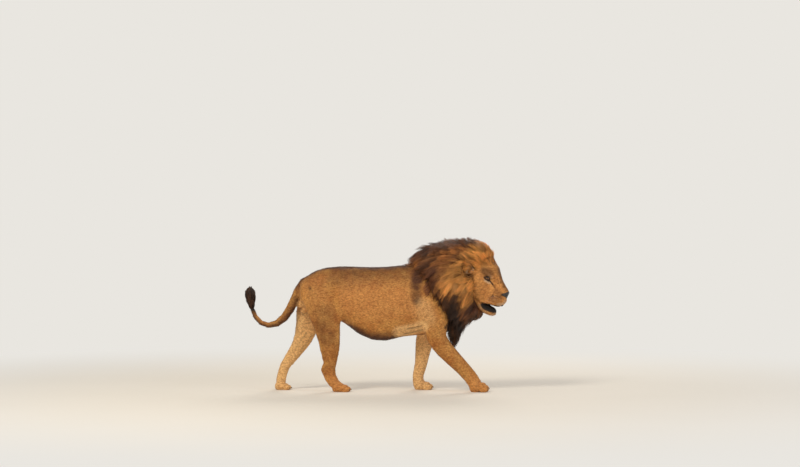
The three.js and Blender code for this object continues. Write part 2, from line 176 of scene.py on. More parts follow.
def swell(mesh, amount):
    """Moves every point along its normal, by its own amount or by one amount for all."""
    move_to(mesh, places(mesh) + outward(mesh) * np.reshape(amount, (-1, 1)))


def keep_above(mesh, height):
    """Lifts what is lower to a height over the floor."""
    points = places(mesh)
    points[:, 2] = np.maximum(points[:, 2], height)
    move_to(mesh, points)


def triangles(mesh):
    return sum(len(face.vertices) - 2 for face in mesh.polygons)


def relax(mesh, rounds, pull=0.5, push=-0.53, hold=None):
    """Smooths a mesh in turn inwards and outwards, so that it keeps its volume. hold is 0 to 1."""
    ends = np.empty(len(mesh.edges) * 2, int)
    mesh.edges.foreach_get("vertices", ends)
    one, other = ends.reshape(-1, 2).T
    count = len(mesh.vertices)
    both, across = np.concatenate([one, other]), np.concatenate([other, one])
    links = np.maximum(np.bincount(both, minlength=count), 1)[:, None]
    free = 1 if hold is None else (1 - hold)[:, None]
    points = places(mesh)
    for _ in range(rounds):
        for step in (pull, push):
            if step:
                total = np.stack([np.bincount(both, points[across, k], count) for k in range(3)], 1)
                points += step * free * (total / links - points)
    move_to(mesh, points)


# %% [markdown]
# A carved solid comes as loose triangles, so a copy of it is merged first. The Remesh modifier then
# melts any heap of closed shapes into one shell on a grid of small cubes.

# %% Merging and melting
SAME_POINT = 0.01  # corners that are this close, in millimetres, are one


def merged(names):
    """One mesh from copies of CAD nodes, with the corners of their triangles joined."""
    work = bmesh.new()
    for name in names:
        work.from_mesh(nodes[name].data)
    bmesh.ops.remove_doubles(work, verts=work.verts, dist=SAME_POINT * MM)
    mesh = bpy.data.meshes.new("work")
    work.to_mesh(mesh)
    work.free()
    return mesh


def voxelled(made, size):
    shell = made.modifiers.new("shell", "REMESH")
    shell.mode, shell.voxel_size = "VOXEL", size * MM
    return finished(made)

# %% [markdown]
# The skin. On a real lion one hide runs from the lips to the tail. The carved solids meet it in thin
# cuts, so their copies are melted together on a grid of small cubes (a voxel remesh), which closes
# every cut, and are then smoothed until no facet is left.

# %% Smooth lines, and spheres wrapped along a shape
def bend(before, one, other, after, share):
    """The smooth curve through four values, at a share of the way from the second to the third."""
    return 0.5 * (2 * one + (other - before) * share
                  + (2 * before - 5 * one + 4 * other - after) * share ** 2
                  + (3 * one - before - 3 * other + after) * share ** 3)


def spline(values, at):
    """Smooth values between the given ones. at counts from 0 to the last of them."""
    values, at = np.asarray(values, float), np.asarray(at, float)
    last = len(values) - 1
    low = np.clip(np.floor(at).astype(int), 0, max(last - 1, 0))
    share = (at - low).reshape((-1,) + (1,) * (values.ndim - 1))
    return bend(*(values[np.clip(low + k, 0, last)] for k in (-1, 0, 1, 2)), share)


def wrapped(name, around, rows, place):
    """A sphere whose rows are laid along a shape: place(along, turn) gives each row's points, with
    along from 0 to 1 and turn from 0 to 2 pi, and each pole goes to the middle of its last row."""
    work = bmesh.new()
    bmesh.ops.create_uvsphere(work, u_segments=around, v_segments=rows, radius=1)
    ball = np.array([v.co[:] for v in work.verts])
    polar = np.arccos(np.clip(ball[:, 2], -1, 1))
    along = np.clip((polar / math.pi * rows - 1) / (rows - 2), 0, 1)
    turn = np.mod(np.arctan2(ball[:, 1], ball[:, 0]), 2 * math.pi)
    spots = place(along, turn)
    for pole in (np.abs(ball[:, 2]) > 0.99999).nonzero()[0]:
        row = np.abs(along - along[pole]) < 1e-6
        row[pole] = False
        spots[pole] = spots[row].mean(0)
    for vert, spot in zip(work.verts, spots * MM):
        vert.co = spot
    bmesh.ops.recalc_face_normals(work, faces=work.faces)
    mesh = bpy.data.meshes.new(name)
    work.to_mesh(mesh)
    work.free()
    return mesh


# %% [markdown]
# Two shapes are wrapped in this way: a tube, with rings of any height and width, for the neck, the
# jaw and the eyelids, and an egg, for cheeks, toes and other round flesh.

# %% Tubes and eggs
def tube(name, stations, around=28, rows=36, place=lambda points: points):
    """A tube along x, y, z, half height and half width, with its rings square to the line."""
    stations = np.array(stations, float)

    def lay(along, turn):
        at = along * (len(stations) - 1)
        middle = spline(stations, at)
        ahead = unit(spline(stations[:, :3], at + 0.05) - spline(stations[:, :3], at - 0.05))
        across = unit(np.cross(ahead, [0.0, 1.0, 0.0]))
        side = np.cross(across, ahead)
        return (middle[:, :3] + across * (np.cos(turn) * middle[:, 3])[:, None]
                + side * (np.sin(turn) * middle[:, 4])[:, None])

    return wrapped(name, around, rows, lambda along, turn: place(lay(along, turn)))


def round_spots(along, turn):
    """Places on a sphere of radius 1, from its upper pole to its lower."""
    polar = along * math.pi
    return np.stack([np.sin(polar) * np.cos(turn), np.sin(polar) * np.sin(turn), np.cos(polar)], 1)


def egg(middle, radii, place=lambda points: points):
    return wrapped("egg", 24, 18, lambda along, turn: place(round_spots(along, turn) * radii + middle))


def joined(name, meshes):
    work = bmesh.new()
    for mesh in meshes:
        work.from_mesh(mesh)
        bpy.data.meshes.remove(mesh)
    whole = bpy.data.meshes.new(name)
    work.to_mesh(whole)
    work.free()
    return put(name, whole)


# %% [markdown]
# The body. Trunk, tail and legs are melted together with a neck that the mane will cover. Smoothing
# wears slender shapes down, so legs and tail are smoothed less, and get back what they have lost.

# %% Melt the body, and a neck under the mane, into one shell
LEGS = [f"{end}_{side}" for end in ("fore", "hind") for side in ("right", "left")]
BODY_FLESH = ["trunk", "tail"] + [f"{leg}_{part}" for leg in LEGS for part in ("upper", "lower", "paw")]
NECK = [  # x, y, z of the middle, half height and half width of each ring
    (520, 0, 830, 215, 150), (600, 0, 850, 205, 150), (680, 0, 880, 180, 140),
    (760, -4, 905, 150, 122), (830, -10, 925, 122, 104), (880, -18, 940, 92, 84),
]
TAIL_END = [  # the same, for the end of the tail inside its tuft
    (-1030, 0, 612, 18, 18), (-1060, 0, 660, 17, 17), (-1080, 0, 715, 16, 16), (-1090, 0, 775, 14, 14),
]
BODY_GRID = 9    # the cubes of the melt, in millimetres
SLIM_LOSS = 4.5  # millimetres that the smoothing takes off legs and tail, given back below
tail_end = tube("tail_end", TAIL_END, around=12, rows=14)
body = voxelled(joined("body", [merged(BODY_FLESH), tube("neck", NECK), tail_end]), BODY_GRID)
p = places(body.data)
slender = np.maximum(1 - soft(350, 560, p[:, 2]), soft(-590, -660, p[:, 0]))
relax(body.data, 40)
relax(body.data, 60, 0.6, -0.62, hold=slender)
relax(body.data, 60, 0.5, 0, hold=slender)
swell(body.data, SLIM_LOSS * slender)
keep_above(body.data, 0.3)
print("body shell:", len(body.data.vertices), "points")

# %% [markdown]
# The head. A lion's face is a long flat-topped wedge: a broad bridge, sides that drop to the whisker
# pads, eyes set where the wedge widens, and heavy cheeks behind. Six lines from the nose to the nape
# hold that shape, and the surface is stretched between them, as clay is over an armature of wires.

# %% The lines of the head and the stations of the jaw
HEAD_LINES = [  # each from nose to nape: forward, to the left, up
    [(204, 0, -66), (202, 0, -24), (182, 0, -3), (145, 0, 21), (106, 0, 50), (80, 0, 82),   # top
     (48, 0, 113), (12, 0, 138), (-30, 0, 154), (-90, 0, 152), (-150, 0, 128), (-190, 0, 70)],
    [(200, 30, -70), (196, 34, -44), (176, 34, -22), (141, 32, 1), (105, 34, 27), (78, 40, 54),  # bridge
     (46, 50, 80), (12, 64, 98), (-30, 82, 108), (-90, 98, 104), (-150, 90, 84), (-190, 60, 50)],
    [(197, 44, -92), (189, 47, -82), (168, 45, -68), (135, 41, -50), (101, 40, -30), (72, 41, -10),  # eye
     (40, 45, 6), (6, 60, 20), (-28, 84, 28), (-85, 116, 22), (-150, 112, 4), (-190, 70, 0)],
    [(205, 27, -116), (192, 55, -118), (166, 67, -118), (135, 67, -116), (101, 62, -108),        # cheek
     (70, 62, -96), (36, 72, -84), (0, 92, -72), (-36, 113, -64), (-90, 132, -62),
     (-150, 116, -72), (-190, 70, -70)],
    [(199, 14, -148), (190, 38, -166), (166, 50, -177), (135, 55, -182), (101, 57, -186),        # lip
     (70, 59, -191), (40, 64, -198), (4, 80, -190), (-32, 96, -172), (-90, 108, -156),
     (-150, 92, -146), (-190, 60, -130)],
    [(196, 0, -136), (182, 0, -150), (160, 0, -152), (130, 0, -152), (100, 0, -152), (70, 0, -154),  # palate
     (40, 0, -160), (4, 0, -170), (-32, 0, -172), (-90, 0, -176), (-150, 0, -160), (-190, 0, -130)],
]
JAW = [  # forward, middle up, half height, half width
    (-120, -150, 60, 84), (-60, -190, 60, 84), (-10, -214, 58, 76), (50, -236, 50, 64),
    (105, -241, 44, 55), (136, -238, 40, 48), (154, -235, 33, 40), (167, -232, 22, 27),
]
CHEEK_FLESH = [(-60, -120), (52, 64, 86), 60.76]  # forward and up, half sizes, to each side
EAR_ROOT = [(-146, 18), (26, 44, 36), 118]
LIP_CORNER = [(8, -204), (36, 12, 26), 56]
HEAD_GRID = 3.2
print(len(HEAD_LINES), "lines over the head and", len(JAW), "stations of the jaw")

# %% [markdown]
# Between the lines the surface follows smooth curves both ways, along each line and from line to
# line. The jaw, cheeks, ear roots and corners of the lips are round shapes pushed into it.

# %% Stretch the face between its lines, and melt the head
def head_place(along, turn):
    """Places on the face: along its lines from nose to nape, and in turn over all of them."""
    lines = np.array(HEAD_LINES, float)
    mirrored = lines * [1, -1, 1]
    loop = np.concatenate([mirrored[1:2], lines, mirrored[4:5]])
    down = 1 + np.where(turn <= math.pi, turn, 2 * math.pi - turn) / math.pi * (len(lines) - 1)
    at = along * (lines.shape[1] - 1)
    rows = np.stack([spline(line, at) for line in loop])
    low = np.clip(np.floor(down).astype(int), 1, len(lines) - 1)
    pick = np.arange(len(turn))
    spots = bend(*(rows[low + k, pick] for k in (-1, 0, 1, 2)), (down - low)[:, None])
    spots[:, 1] *= np.where(turn <= math.pi, 1, -1)
    return from_head(spots)


def head_parts():
    parts = [wrapped("face", 96, 72, head_place)]
    jaw = [(a, 0, c, high, wide) for a, c, high, wide in JAW]
    parts.append(tube("jaw", jaw, place=from_head))
    for side in (1, -1):
        for (a, c), radii, out in (CHEEK_FLESH, EAR_ROOT, LIP_CORNER):
            parts.append(egg((a, side * out, c), radii, place=from_head))
    return parts


head = joined("head_shell", head_parts() + [merged(["ear_left", "ear_right"])])
head = voxelled(head, HEAD_GRID)
relax(head.data, 10)
print("head shell:", len(head.data.vertices), "points")

# %% [markdown]
# Sculpting. A sculptor adds and takes away small pads of clay. Here each pad is a line on the surface
# with a radius and a height: points near the line move out along their normals, or in where the
# height is negative. A pad that is given on the left of the head is repeated on the right.

# %% Press and raise pads
def sculpt(mesh, pads, to_local=None, mirror=True):
    spots = places(mesh) if to_local is None else to_local(places(mesh))
    move = np.zeros(len(spots))
    for line, radius, height in pads:
        line = np.atleast_2d(np.array(line, float))
        line = line[0] if len(line) == 1 else line
        sides = [line, line * [1, -1, 1]] if mirror and np.abs(line[..., 1]).max() > 3 else [line]
        for one in sides:
            move += height * hump(distance_to(spots, one), radius)
    swell(mesh, move)


EYE_MIDDLE, EYE_RADIUS, EYE_SIDEWAYS = (-8.0, 55.0, 12.0), 19.0, math.radians(38)
FACE_PADS = [
    ([(-30, 82, 42), (-6, 64, 44), (22, 46, 34)], 15, 12),     # brow
    ([(50, 0, 112), (76, 0, 84)], 24, -6),                     # dip between the brows
    ([(-60, 40, 140), (-10, 40, 130), (20, 34, 110)], 26, 6),  # forehead mounds
    ([(-80, 0, 155), (-20, 0, 156), (20, 0, 138)], 13, -7),    # furrow between them
    ([(24, 45, 8), (52, 41, -4), (84, 39, -22), (116, 39, -42)], 11, -4),  # tear line
    ([(4, 74, -26), (-30, 100, -34), (-66, 118, -36)], 20, 6),  # cheek bone
    ([(30, 66, -54), (70, 60, -70)], 20, -4),                   # hollow ahead of it
    ([(184, 40, -114), (156, 58, -124), (124, 60, -130)], 26, 9),  # whisker pad
    ([(196, 36, -72), (168, 50, -82), (132, 55, -84), (100, 57, -80)], 10, -6),  # its upper edge
    ([(210, 0, -90), (209, 0, -120), (203, 0, -150)], 8, -10),  # groove under the nose
    ([(96, 60, -172), (60, 64, -186), (30, 74, -192)], 14, 5),  # hanging lip
    ([(120, 62, -150), (80, 62, -160)], 14, -3),
    ([(150, 26, -262), (120, 36, -270)], 22, 4),                # chin
    ([(30, 0, 135), (70, 0, 100), (110, 0, 52), (160, 0, 18)], 14, -3),  # dip along the bridge
    ([(150, 24, 10), (110, 27, 40)], 12, 2),
    ([(-20, 96, -96), (-60, 116, -110)], 30, 5),                # cheek
]
sculpt(head.data, FACE_PADS, to_head)
relax(head.data, 4)
print(len(FACE_PADS), "pads on the face")

# %% [markdown]
# Each eye has a small frame of its own: out of the eye, towards its outer corner, and up. The eyes
# of a lion look ahead, but sit well to the side of the bridge, so the frame is turned sideways.

# %% The eye's own directions
def eye_axes(side):
    """Out of the eye, towards its outer corner, and up, in the row's frame."""
    out = np.array([math.cos(EYE_SIDEWAYS), side * math.sin(EYE_SIDEWAYS), 0.06])
    back = np.array([-math.sin(EYE_SIDEWAYS), side * math.cos(EYE_SIDEWAYS), 0.10])
    out, back = unit(out), unit(back)
    up = unit(np.cross(out, back) * side)
    return np.stack([out, back, up]) @ HEAD


def eye_place(side):
    return from_head(np.array(EYE_MIDDLE) * [1, side, 1])


print("the eyes are", round(float(np.linalg.norm(eye_place(1) - eye_place(-1)))), "mm apart")

# %% [markdown]
# The lids. The skin in front of the ball is cut finer and pushed out to a dome. Then the almond
# between the two curved lids is pushed in past the ball, which leaves lids with an edge.

# %% Open the lids
LID_HALF_WIDTH, LID_TOP, LID_BOTTOM = 19.0, 9.0, 8.5  # the almond between the lids
LID_THICK, DOME_EDGE, LID_FOLD = 2.6, 8, 16  # how far over the surface of the ball each lies
SOCKET_DEPTH = 4.5  # how far under it the almond is pushed


def almond_edge(across):
    """Heights of the upper and the lower lid at a place across the eye."""
    share = np.clip(np.abs(across) / LID_HALF_WIDTH, 0, 1)
    rise = across * 0.10
    return rise + LID_TOP * (1 - share ** 2) ** 0.8, rise - LID_BOTTOM * (1 - share ** 1.8)


def refine(mesh, middle, reach, cuts):
    """Cuts the faces round a place into smaller ones."""
    work = bmesh.new()
    work.from_mesh(mesh)
    middle = Vector(middle) * MM
    edges = [e for e in work.edges
             if all((v.co - middle).length < reach * MM for f in e.link_faces for v in f.verts)]
    bmesh.ops.subdivide_edges(work, edges=edges, cuts=cuts, use_grid_fill=True, smooth=0.0)
    work.to_mesh(mesh)
    work.free()


def open_lids(mesh):
    """Domes the skin over each eye and opens an almond in the dome."""
    for side in (1, -1):
        middle, axes = eye_place(side), eye_axes(side)
        refine(mesh, middle + axes[0] * 12, 27, 1)
        points = places(mesh)
        offset = points - middle
        local = offset @ axes.T
        distance = np.linalg.norm(offset, axis=1)
        ray = offset / np.maximum(distance, 1e-6)[:, None]
        ahead = local[:, 0] > 2
        dome = (distance < EYE_RADIUS + DOME_EDGE) & ahead
        lid = np.where(dome, np.maximum(distance, EYE_RADIUS + LID_THICK), distance)
        upper, lower = almond_edge(local[:, 1])
        inside = (np.abs(local[:, 1]) < LID_HALF_WIDTH) & (local[:, 2] < upper) & (local[:, 2] > lower)
        lid = np.where(dome & inside, EYE_RADIUS - SOCKET_DEPTH, lid)
        move_to(mesh, middle + ray * lid[:, None])
        hold = np.where((distance < EYE_RADIUS + LID_FOLD) & ahead & ~inside, 0.0, 1.0)
        relax(mesh, 3, 0.5, -0.5, hold)


open_lids(head.data)
print("face:", len(head.data.vertices), "points")

# %% [markdown]
# The body gets its pads too: shoulder blade and arm, the crease behind them, the loose folds of skin
# at the elbow, the hip, the thigh, the fold of the flank and a hint of ribs. The two sides of a
# walking cat differ, so most of these pads are given for one side.

# %% Muscles and folds of the body
RIBS = 8
RIB_STEP, RIB_RADIUS, RIB_HEIGHT = 36, 13, 1.8  # millimetres


def ribs():
    made = []
    for k in range(RIBS):
        x = 30 + RIB_STEP * k
        line = [(x + 22, -150, 980), (x + 22, -196, 860), (x - 30, -200, 740), (x - 70, -180, 640)]
        made += [(line, RIB_RADIUS, RIB_HEIGHT), ([(a, -b, c) for a, b, c in line], RIB_RADIUS, RIB_HEIGHT)]
    return made


BODY_PADS = [
    ([(340, -110, 1050), (410, -170, 920), (455, -175, 800)], 60, 9),     # right shoulder blade
    ([(390, -180, 740), (440, -190, 640)], 60, 8),                        # right upper arm
    ([(262, -190, 980), (285, -205, 840), (318, -205, 700), (345, -190, 610)], 30, -11),
    ([(235, -150, 478), (310, -160, 492), (385, -160, 512)], 12, 11),     # folds at the elbow
    ([(255, -160, 518), (325, -172, 532), (390, -175, 552)], 12, 11),
    ([(240, -130, 498), (310, -140, 510), (388, -150, 533)], 9, -9),
    ([(258, -170, 541), (330, -180, 554), (385, -180, 574)], 9, -8),
    ([(250, -175, 566), (320, -185, 590), (372, -185, 592)], 13, 7),
    ([(300, 120, 1050), (380, 170, 900), (420, 180, 760)], 60, 8),        # left shoulder
    ([(262, 190, 960), (290, 205, 800), (330, 200, 640)], 32, -11),
    ([(-480, -120, 1010), (-520, -130, 960)], 50, 6),                     # hips
    ([(-490, 120, 1010), (-530, 130, 960)], 50, 6),
    ([(-500, -180, 850), (-480, -180, 740)], 80, 8),                      # thighs
    ([(-530, 175, 840), (-560, 165, 720)], 80, 8),
    ([(-352, -165, 980), (-350, -190, 860), (-352, -185, 740), (-325, -160, 640)], 24, -8),
    ([(-380, 165, 960), (-400, 185, 820), (-440, 175, 690), (-440, 150, 610)], 26, -9),
    ([(-330, -120, 640), (-290, -110, 588)], 22, 6),                      # fold of the flank
    ([(-400, -175, 560), (-440, -170, 640), (-520, -165, 700)], 26, -5),
    ([(-415, -150, 500), (-395, -150, 440)], 24, 5),                      # knee
    ([(-500, -118, 330), (-440, -118, 300), (-452, -118, 240)], 16, -4),  # hollow by the hock tendon
    ([(-600, 0, 975), (-640, 0, 920)], 30, 4),
    ([(-610, -60, 930), (-640, -50, 860), (-650, -45, 790)], 20, -6),
    ([(-610, 60, 930), (-640, 50, 860), (-650, 45, 790)], 20, -6),
    ([(560, -146, 380), (640, -146, 300)], 30, 4),                        # right forearm
    ([(-200, 0, 1077), (120, 0, 1074)], 22, 2),
]
ELBOW = (315, -165, 535)
refine(body.data, ELBOW, 120, 1)
sculpt(body.data, BODY_PADS + ribs(), mirror=False)
print(len(BODY_PADS), "pads and", RIBS, "pairs of ribs")

# %% [markdown]
# A paw stands on four toes, each a pad on the floor under a knuckle. The block of the toes is pressed
# in a little, and round pads and knuckles are then set on it, so that grooves are left between them.

# %% Toes
PAWS = {  # each paw: how far forward its middle toes reach, its middle to the left, width and toe height
    "fore_right": (955, -140, 128, 80), "fore_left": (478, 122, 124, 66),
    "hind_right": (-230, -118, 110, 60), "hind_left": (-752, 104, 106, 56),
}
TOE_PLACES = (-0.37, -0.13, 0.13, 0.37)  # sideways, in widths of the paw
OUTER_REACH = 12  # how far the outer toes end behind the middle ones
TOE_PRESS = 7     # how far the block under the toes is pressed in


def toe_lines():
    """The grooves between the toes of every paw."""
    return [[(tip - 62, y + share * width * 0.85, tall + 2), (tip - 12, y + share * width, 0.62 * tall),
             (tip - 4, y + share * width, 6)]
            for tip, y, width, tall in PAWS.values() for share in (-0.25, 0.0, 0.25)]


def toe_balls():
    """A knuckle and a pad for every toe."""
    made = []
    for tip, y, width, tall in PAWS.values():
        for place in TOE_PLACES:
            reach = tip - (OUTER_REACH if abs(place) > 0.3 else 0)
            thick = 0.128 * width
            made.append(egg((reach - 17, y + place * width, 0.37 * tall), (21, thick, 0.36 * tall)))
            made.append(egg((reach - 44, y + place * width * 0.95, 0.60 * tall), (27, thick, 0.40 * tall)))
    return made


def part_toes(mesh):
    """Presses the block of the toes in, so that the toes set on it stand out."""
    points = places(mesh)
    move = np.zeros(len(points))
    for tip, y, width, _ in PAWS.values():
        front = soft(tip - 92, tip - 62, points[:, 0]) * (points[:, 0] < tip + 20)
        move -= TOE_PRESS * front * (np.abs(points[:, 1] - y) < width) * soft(2, 12, points[:, 2])
    swell(mesh, move)


part_toes(body.data)
print("body:", len(body.data.vertices), "points")

# %% [markdown]
# The solids reach to the tips of the hair, so the skin is drawn in by the depth of the coat: most on
# the trunk, less on the legs, least on the face and paws, and nothing on the soles. Then the head is
# joined to the neck, where the mane hides the join.

# %% Draw the skin in under the coat, and join it
FACE_LINE = [(200, 0, -60), (-60, 0, -20)]  # from the nose to behind the eyes, in the head's directions


def coat_depth(points):
    """How far the hair stands over the skin, in millimetres."""
    local = to_head(points)
    depth = 3.5 + 3.5 * soft(200, 640, points[:, 2])
    face = near(local, FACE_LINE, 190, 60) * soft(700, 800, points[:, 0])
    depth = depth * (1 - face) + face * 1.6
    return depth * soft(4, 30, points[:, 2])


for shell in (body, head):
    swell(shell.data, -coat_depth(places(shell.data)))
POUCHES = [(-646, 16, 754, (38, 25, 33)), (-628, 13, 696, (28, 22, 30))]  # below the tail, on each side
TOE_GRID = 3
below_tail = [egg((x, side * y, z), radii) for x, y, z, radii in POUCHES for side in (1, -1)]
toes = voxelled(joined("toes", toe_balls() + below_tail), TOE_GRID)
relax(toes.data, 6)
keep_above(toes.data, 0.4)
for other in (head, toes):
    join = body.modifiers.new("join", "BOOLEAN")
    join.object, join.operation, join.solver = other, "UNION", "MANIFOLD"
skin = finished(body)
skin.name = skin.data.name = "skin"
bpy.data.objects.remove(head)
bpy.data.objects.remove(toes)
work = bmesh.new()
work.from_mesh(skin.data)
bmesh.ops.delete(work, geom=[v for v in work.verts if not v.link_faces], context="VERTS")
bmesh.ops.triangulate(work, faces=[f for f in work.faces if len(f.verts) > 4])
work.to_mesh(skin.data)
work.free()
print("joined skin:", len(skin.data.polygons), "faces")

# %% [markdown]
# One piece may hold only so many triangles, and the face and the feet need most of them. The Decimate
# modifier thins the rest, which it finds by a vertex group.

# %% Thin the skin where it is plain
SKIN_TRIANGLES = 186_000
p = places(skin.data)
local = to_head(p)
keep_fine = np.maximum.reduce([
    near(local, [(200, 0, -60), (0, 0, -20)], 150, 40),    # face
    near(p, [(240, -150, 500), (390, -165, 560)], 60, 20),  # elbow
    1 - soft(80, 120, p[:, 2])])                            # feet
group = skin.vertex_groups.new(name="coarse")
for vertex in np.nonzero(keep_fine < 0.5)[0].tolist():
    group.add([vertex], 1.0, "REPLACE")
count = triangles(skin.data)
thin_out = skin.modifiers.new("thin_out", "DECIMATE")
thin_out.ratio, thin_out.vertex_group = min(1, SKIN_TRIANGLES / count), "coarse"
skin = finished(skin)
skin.vertex_groups.clear()
keep_above(skin.data, 0.2)
print("skin:", triangles(skin.data), "triangles, from", count)

# %% [markdown]
# Before any hair is set, the skin is unwrapped, as a hide is laid flat. Every tuft keeps the place of
# its root on that hide, so that a colour baked for the skin and for the tuft is the same.

# %% Lay the hide flat
def unwrap(made):
    bpy.ops.object.select_all(action="DESELECT")
    bpy.context.view_layer.objects.active = made
    made.select_set(True)
    for layer in list(made.data.uv_layers):
        made.data.uv_layers.remove(layer)
    made.data.uv_layers.new(name="OFBake")
    bpy.ops.object.mode_set(mode="EDIT")
    bpy.ops.mesh.select_all(action="SELECT")
    bpy.ops.uv.smart_project(angle_limit=math.radians(66), island_margin=0.001)
    bpy.ops.object.mode_set(mode="OBJECT")
    made.data.shade_smooth()


unwrap(skin)
print("the hide is laid flat in", len(skin.data.loops), "corners")

# %% [markdown]
# Markings. Skin and coat share them, so they are worked out once, as five amounts from 0 to 1 at a
# point: umber, sand, gold, cream and black. Some of the umber and black is painted shade, and some of
# the sand and gold painted light. A marking is mostly a table of patches. Each patch has an amount, a
# line, a half width and the width of a soft edge, like one stroke of a wide dry brush.

# %% Lines over the body
BACK = [(-665, 0, 950), (-570, 0, 1030), (-475, 0, 1062), (-285, 0, 1088), (0, 0, 1080),
        (190, 0, 1094), (330, 0, 1110)]
TAIL = [(-640, 0, 915), (-678, 0, 860), (-712, 0, 785), (-750, 0, 710), (-800, 0, 632), (-865, 0, 582),
        (-935, 0, 565), (-1000, 0, 585), (-1048, 0, 635), (-1076, 0, 700), (-1090, 0, 770)]
LEG_LINES = {
    "fore_right": [(432, -120, 900), (500, -132, 690), (502, -140, 568), (580, -146, 366), (733, -142, 206),
                   (828, -140, 90), (950, -140, 30)],
    "fore_left": [(432, 120, 900), (470, 130, 670), (414, 132, 430), (381, 127, 215), (358, 122, 90),
                  (470, 122, 30)],
    "hind_right": [(-500, -110, 900), (-457, -108, 675), (-407, -118, 425), (-405, -118, 246),
                   (-398, -118, 120), (-240, -118, 30)],
    "hind_left": [(-530, 100, 900), (-575, 108, 650), (-648, 110, 436), (-766, 108, 262), (-824, 104, 125),
                  (-750, 104, 30)],
}

print("lines over the body:", 2 + len(LEG_LINES))

# %% [markdown]
# Lips, lids and nose are lines over the head, given forward, to the left and up. They are given for
# the left side only, because the head is folded over onto that side before it is painted.

# %% Lines over the head
LOWER_LIP = [(170, 0, -218), (160, 28, -222), (130, 46, -228), (90, 56, -230), (62, 62, -224),
             (50, 66, -212)]
UPPER_LIP = [(207, 0, -150), (200, 18, -160), (184, 42, -172), (150, 54, -181), (110, 58, -188),
             (60, 62, -202)]
LID_LINE = [(22, 54, 2), (8, 66, 24), (-12, 80, 22), (-24, 86, 10), (-10, 80, 0), (10, 66, -4), (22, 54, 0)]
NOSE_FORM = [  # stretches of the bare nose, each with its half width and the width of its edge
    ([(198, 0, -34), (196, 18, -40)], 12, 6), ([(206, 0, -52), (204, 16, -58)], 14, 5),
    ([(200, 18, -50), (192, 30, -52)], 15, 6), ([(192, 30, -52), (184, 37, -55)], 11, 6),
    ([(184, 37, -55), (176, 41, -59)], 6, 5),
    ([(208, 0, -64), (209, 0, -80)], 9, 4), ([(209, 0, -80), (210, 0, -98)], 3.5, 3),
]
WHISKER_SPOTS = [(176 - 17 * k, 52 + 4 * k - 0.6 * k * k, -96 - 14 * row + 2 * k)
                 for row, count in enumerate((4, 5, 5, 4)) for k in range(count)]
print(len(WHISKER_SPOTS), "whisker spots on each side")

# %% [markdown]
# The brushes. Each gives the amount of a stroke at thousands of points at once. Seen from the side, one
# stroke paints both flanks and the back between them.

# %% Brushes
def both_sides(local):
    """The right side of the head, folded over onto the left."""
    return np.abs(local * [0, 1, 0]) + local * [1, 0, 1]


def nose_form(one):
    """1 on the bare nose, 0 on the hair round it."""
    return np.maximum.reduce([near(one, line, radius, edge) for line, radius, edge in NOSE_FORM])


def side_near(points, line, radius, edge):
    """As near, but seen from the side, so that both flanks and the middle get the same amount."""
    return near(points * [1, 0, 1], [(x, 0, z) for x, z in line], radius, edge)


def painted(points, patches):
    """The sum of some patches. A patch whose line has only x and z is seen from the side."""
    return sum(amount * (near if len(line[0]) == 3 else side_near)(points, line, radius, edge)
               for amount, line, radius, edge in patches)


def drifts(points, size):
    """A smooth random amount from -1 to 1 that changes over size millimetres."""
    return np.array([noise.noise(Vector(spot)) for spot in points / size])


# %% [markdown]
# Umber is the dark of black-tipped hairs. It lies along the spine and over the flank, and on the face
# along the bridge of the nose, the side of the muzzle and over the eye, where it is partly painted
# shade of the bridge and the brow. It is also painted shade: in the crease behind the shoulder, under
# the belly and the tail where the skin faces down, on the haunch behind the lit flank, and on the far
# foreleg under the belly. Drifts keep it from looking drawn.

# %% Umber
SHOULDER_CREASE_SHADE = [(366, 1010), (340, 940), (332, 870), (346, 790)]
UPPER_FLANK = [(-600, 1010), (-300, 1070), (330, 1100)]
# where shade falls on the far foreleg, under the belly
FAR_FORELEG_SHADOW = [(405, 130, 480), (425, 130, 400), (415, 130, 370)]
UMBER_PATCHES = [
    # painted shade under the belly, and along its lower edge
    (0.55, [(-180, 0, 500), (-60, 0, 450), (60, 0, 430), (180, 0, 455)], 60, 80),  # belly
    (0.50, [(-200, 530), (-60, 470), (60, 450), (170, 468)], 22, 56),              # its lower edge
    (0.25, [(-480, -150, 560), (-430, -150, 470)], 40, 60),                        # right knee
    (0.20, LEG_LINES["fore_right"][1:5], 60, 80),
    (0.30, TAIL[1:], 60, 10),
]
UMBER_ON_FACE = [
    # partly dark hair and partly painted shade along the bridge and the side of the muzzle
    (0.9, [(176, 0, 0), (110, 0, 52), (60, 0, 104)], 22, 26),  # along the bridge
    (0.7, [(170, 48, -72), (110, 46, -58)], 12, 26),           # side of the muzzle
    # partly dark hair and partly painted shade of the brow over the eye
    (0.6, [(10, 70, 60), (-40, 92, 70)], 18, 34),              # over the eye
    (0.75, [(156, 56, -118), (110, 60, -128)], 18, 30),        # rows of the whiskers
]


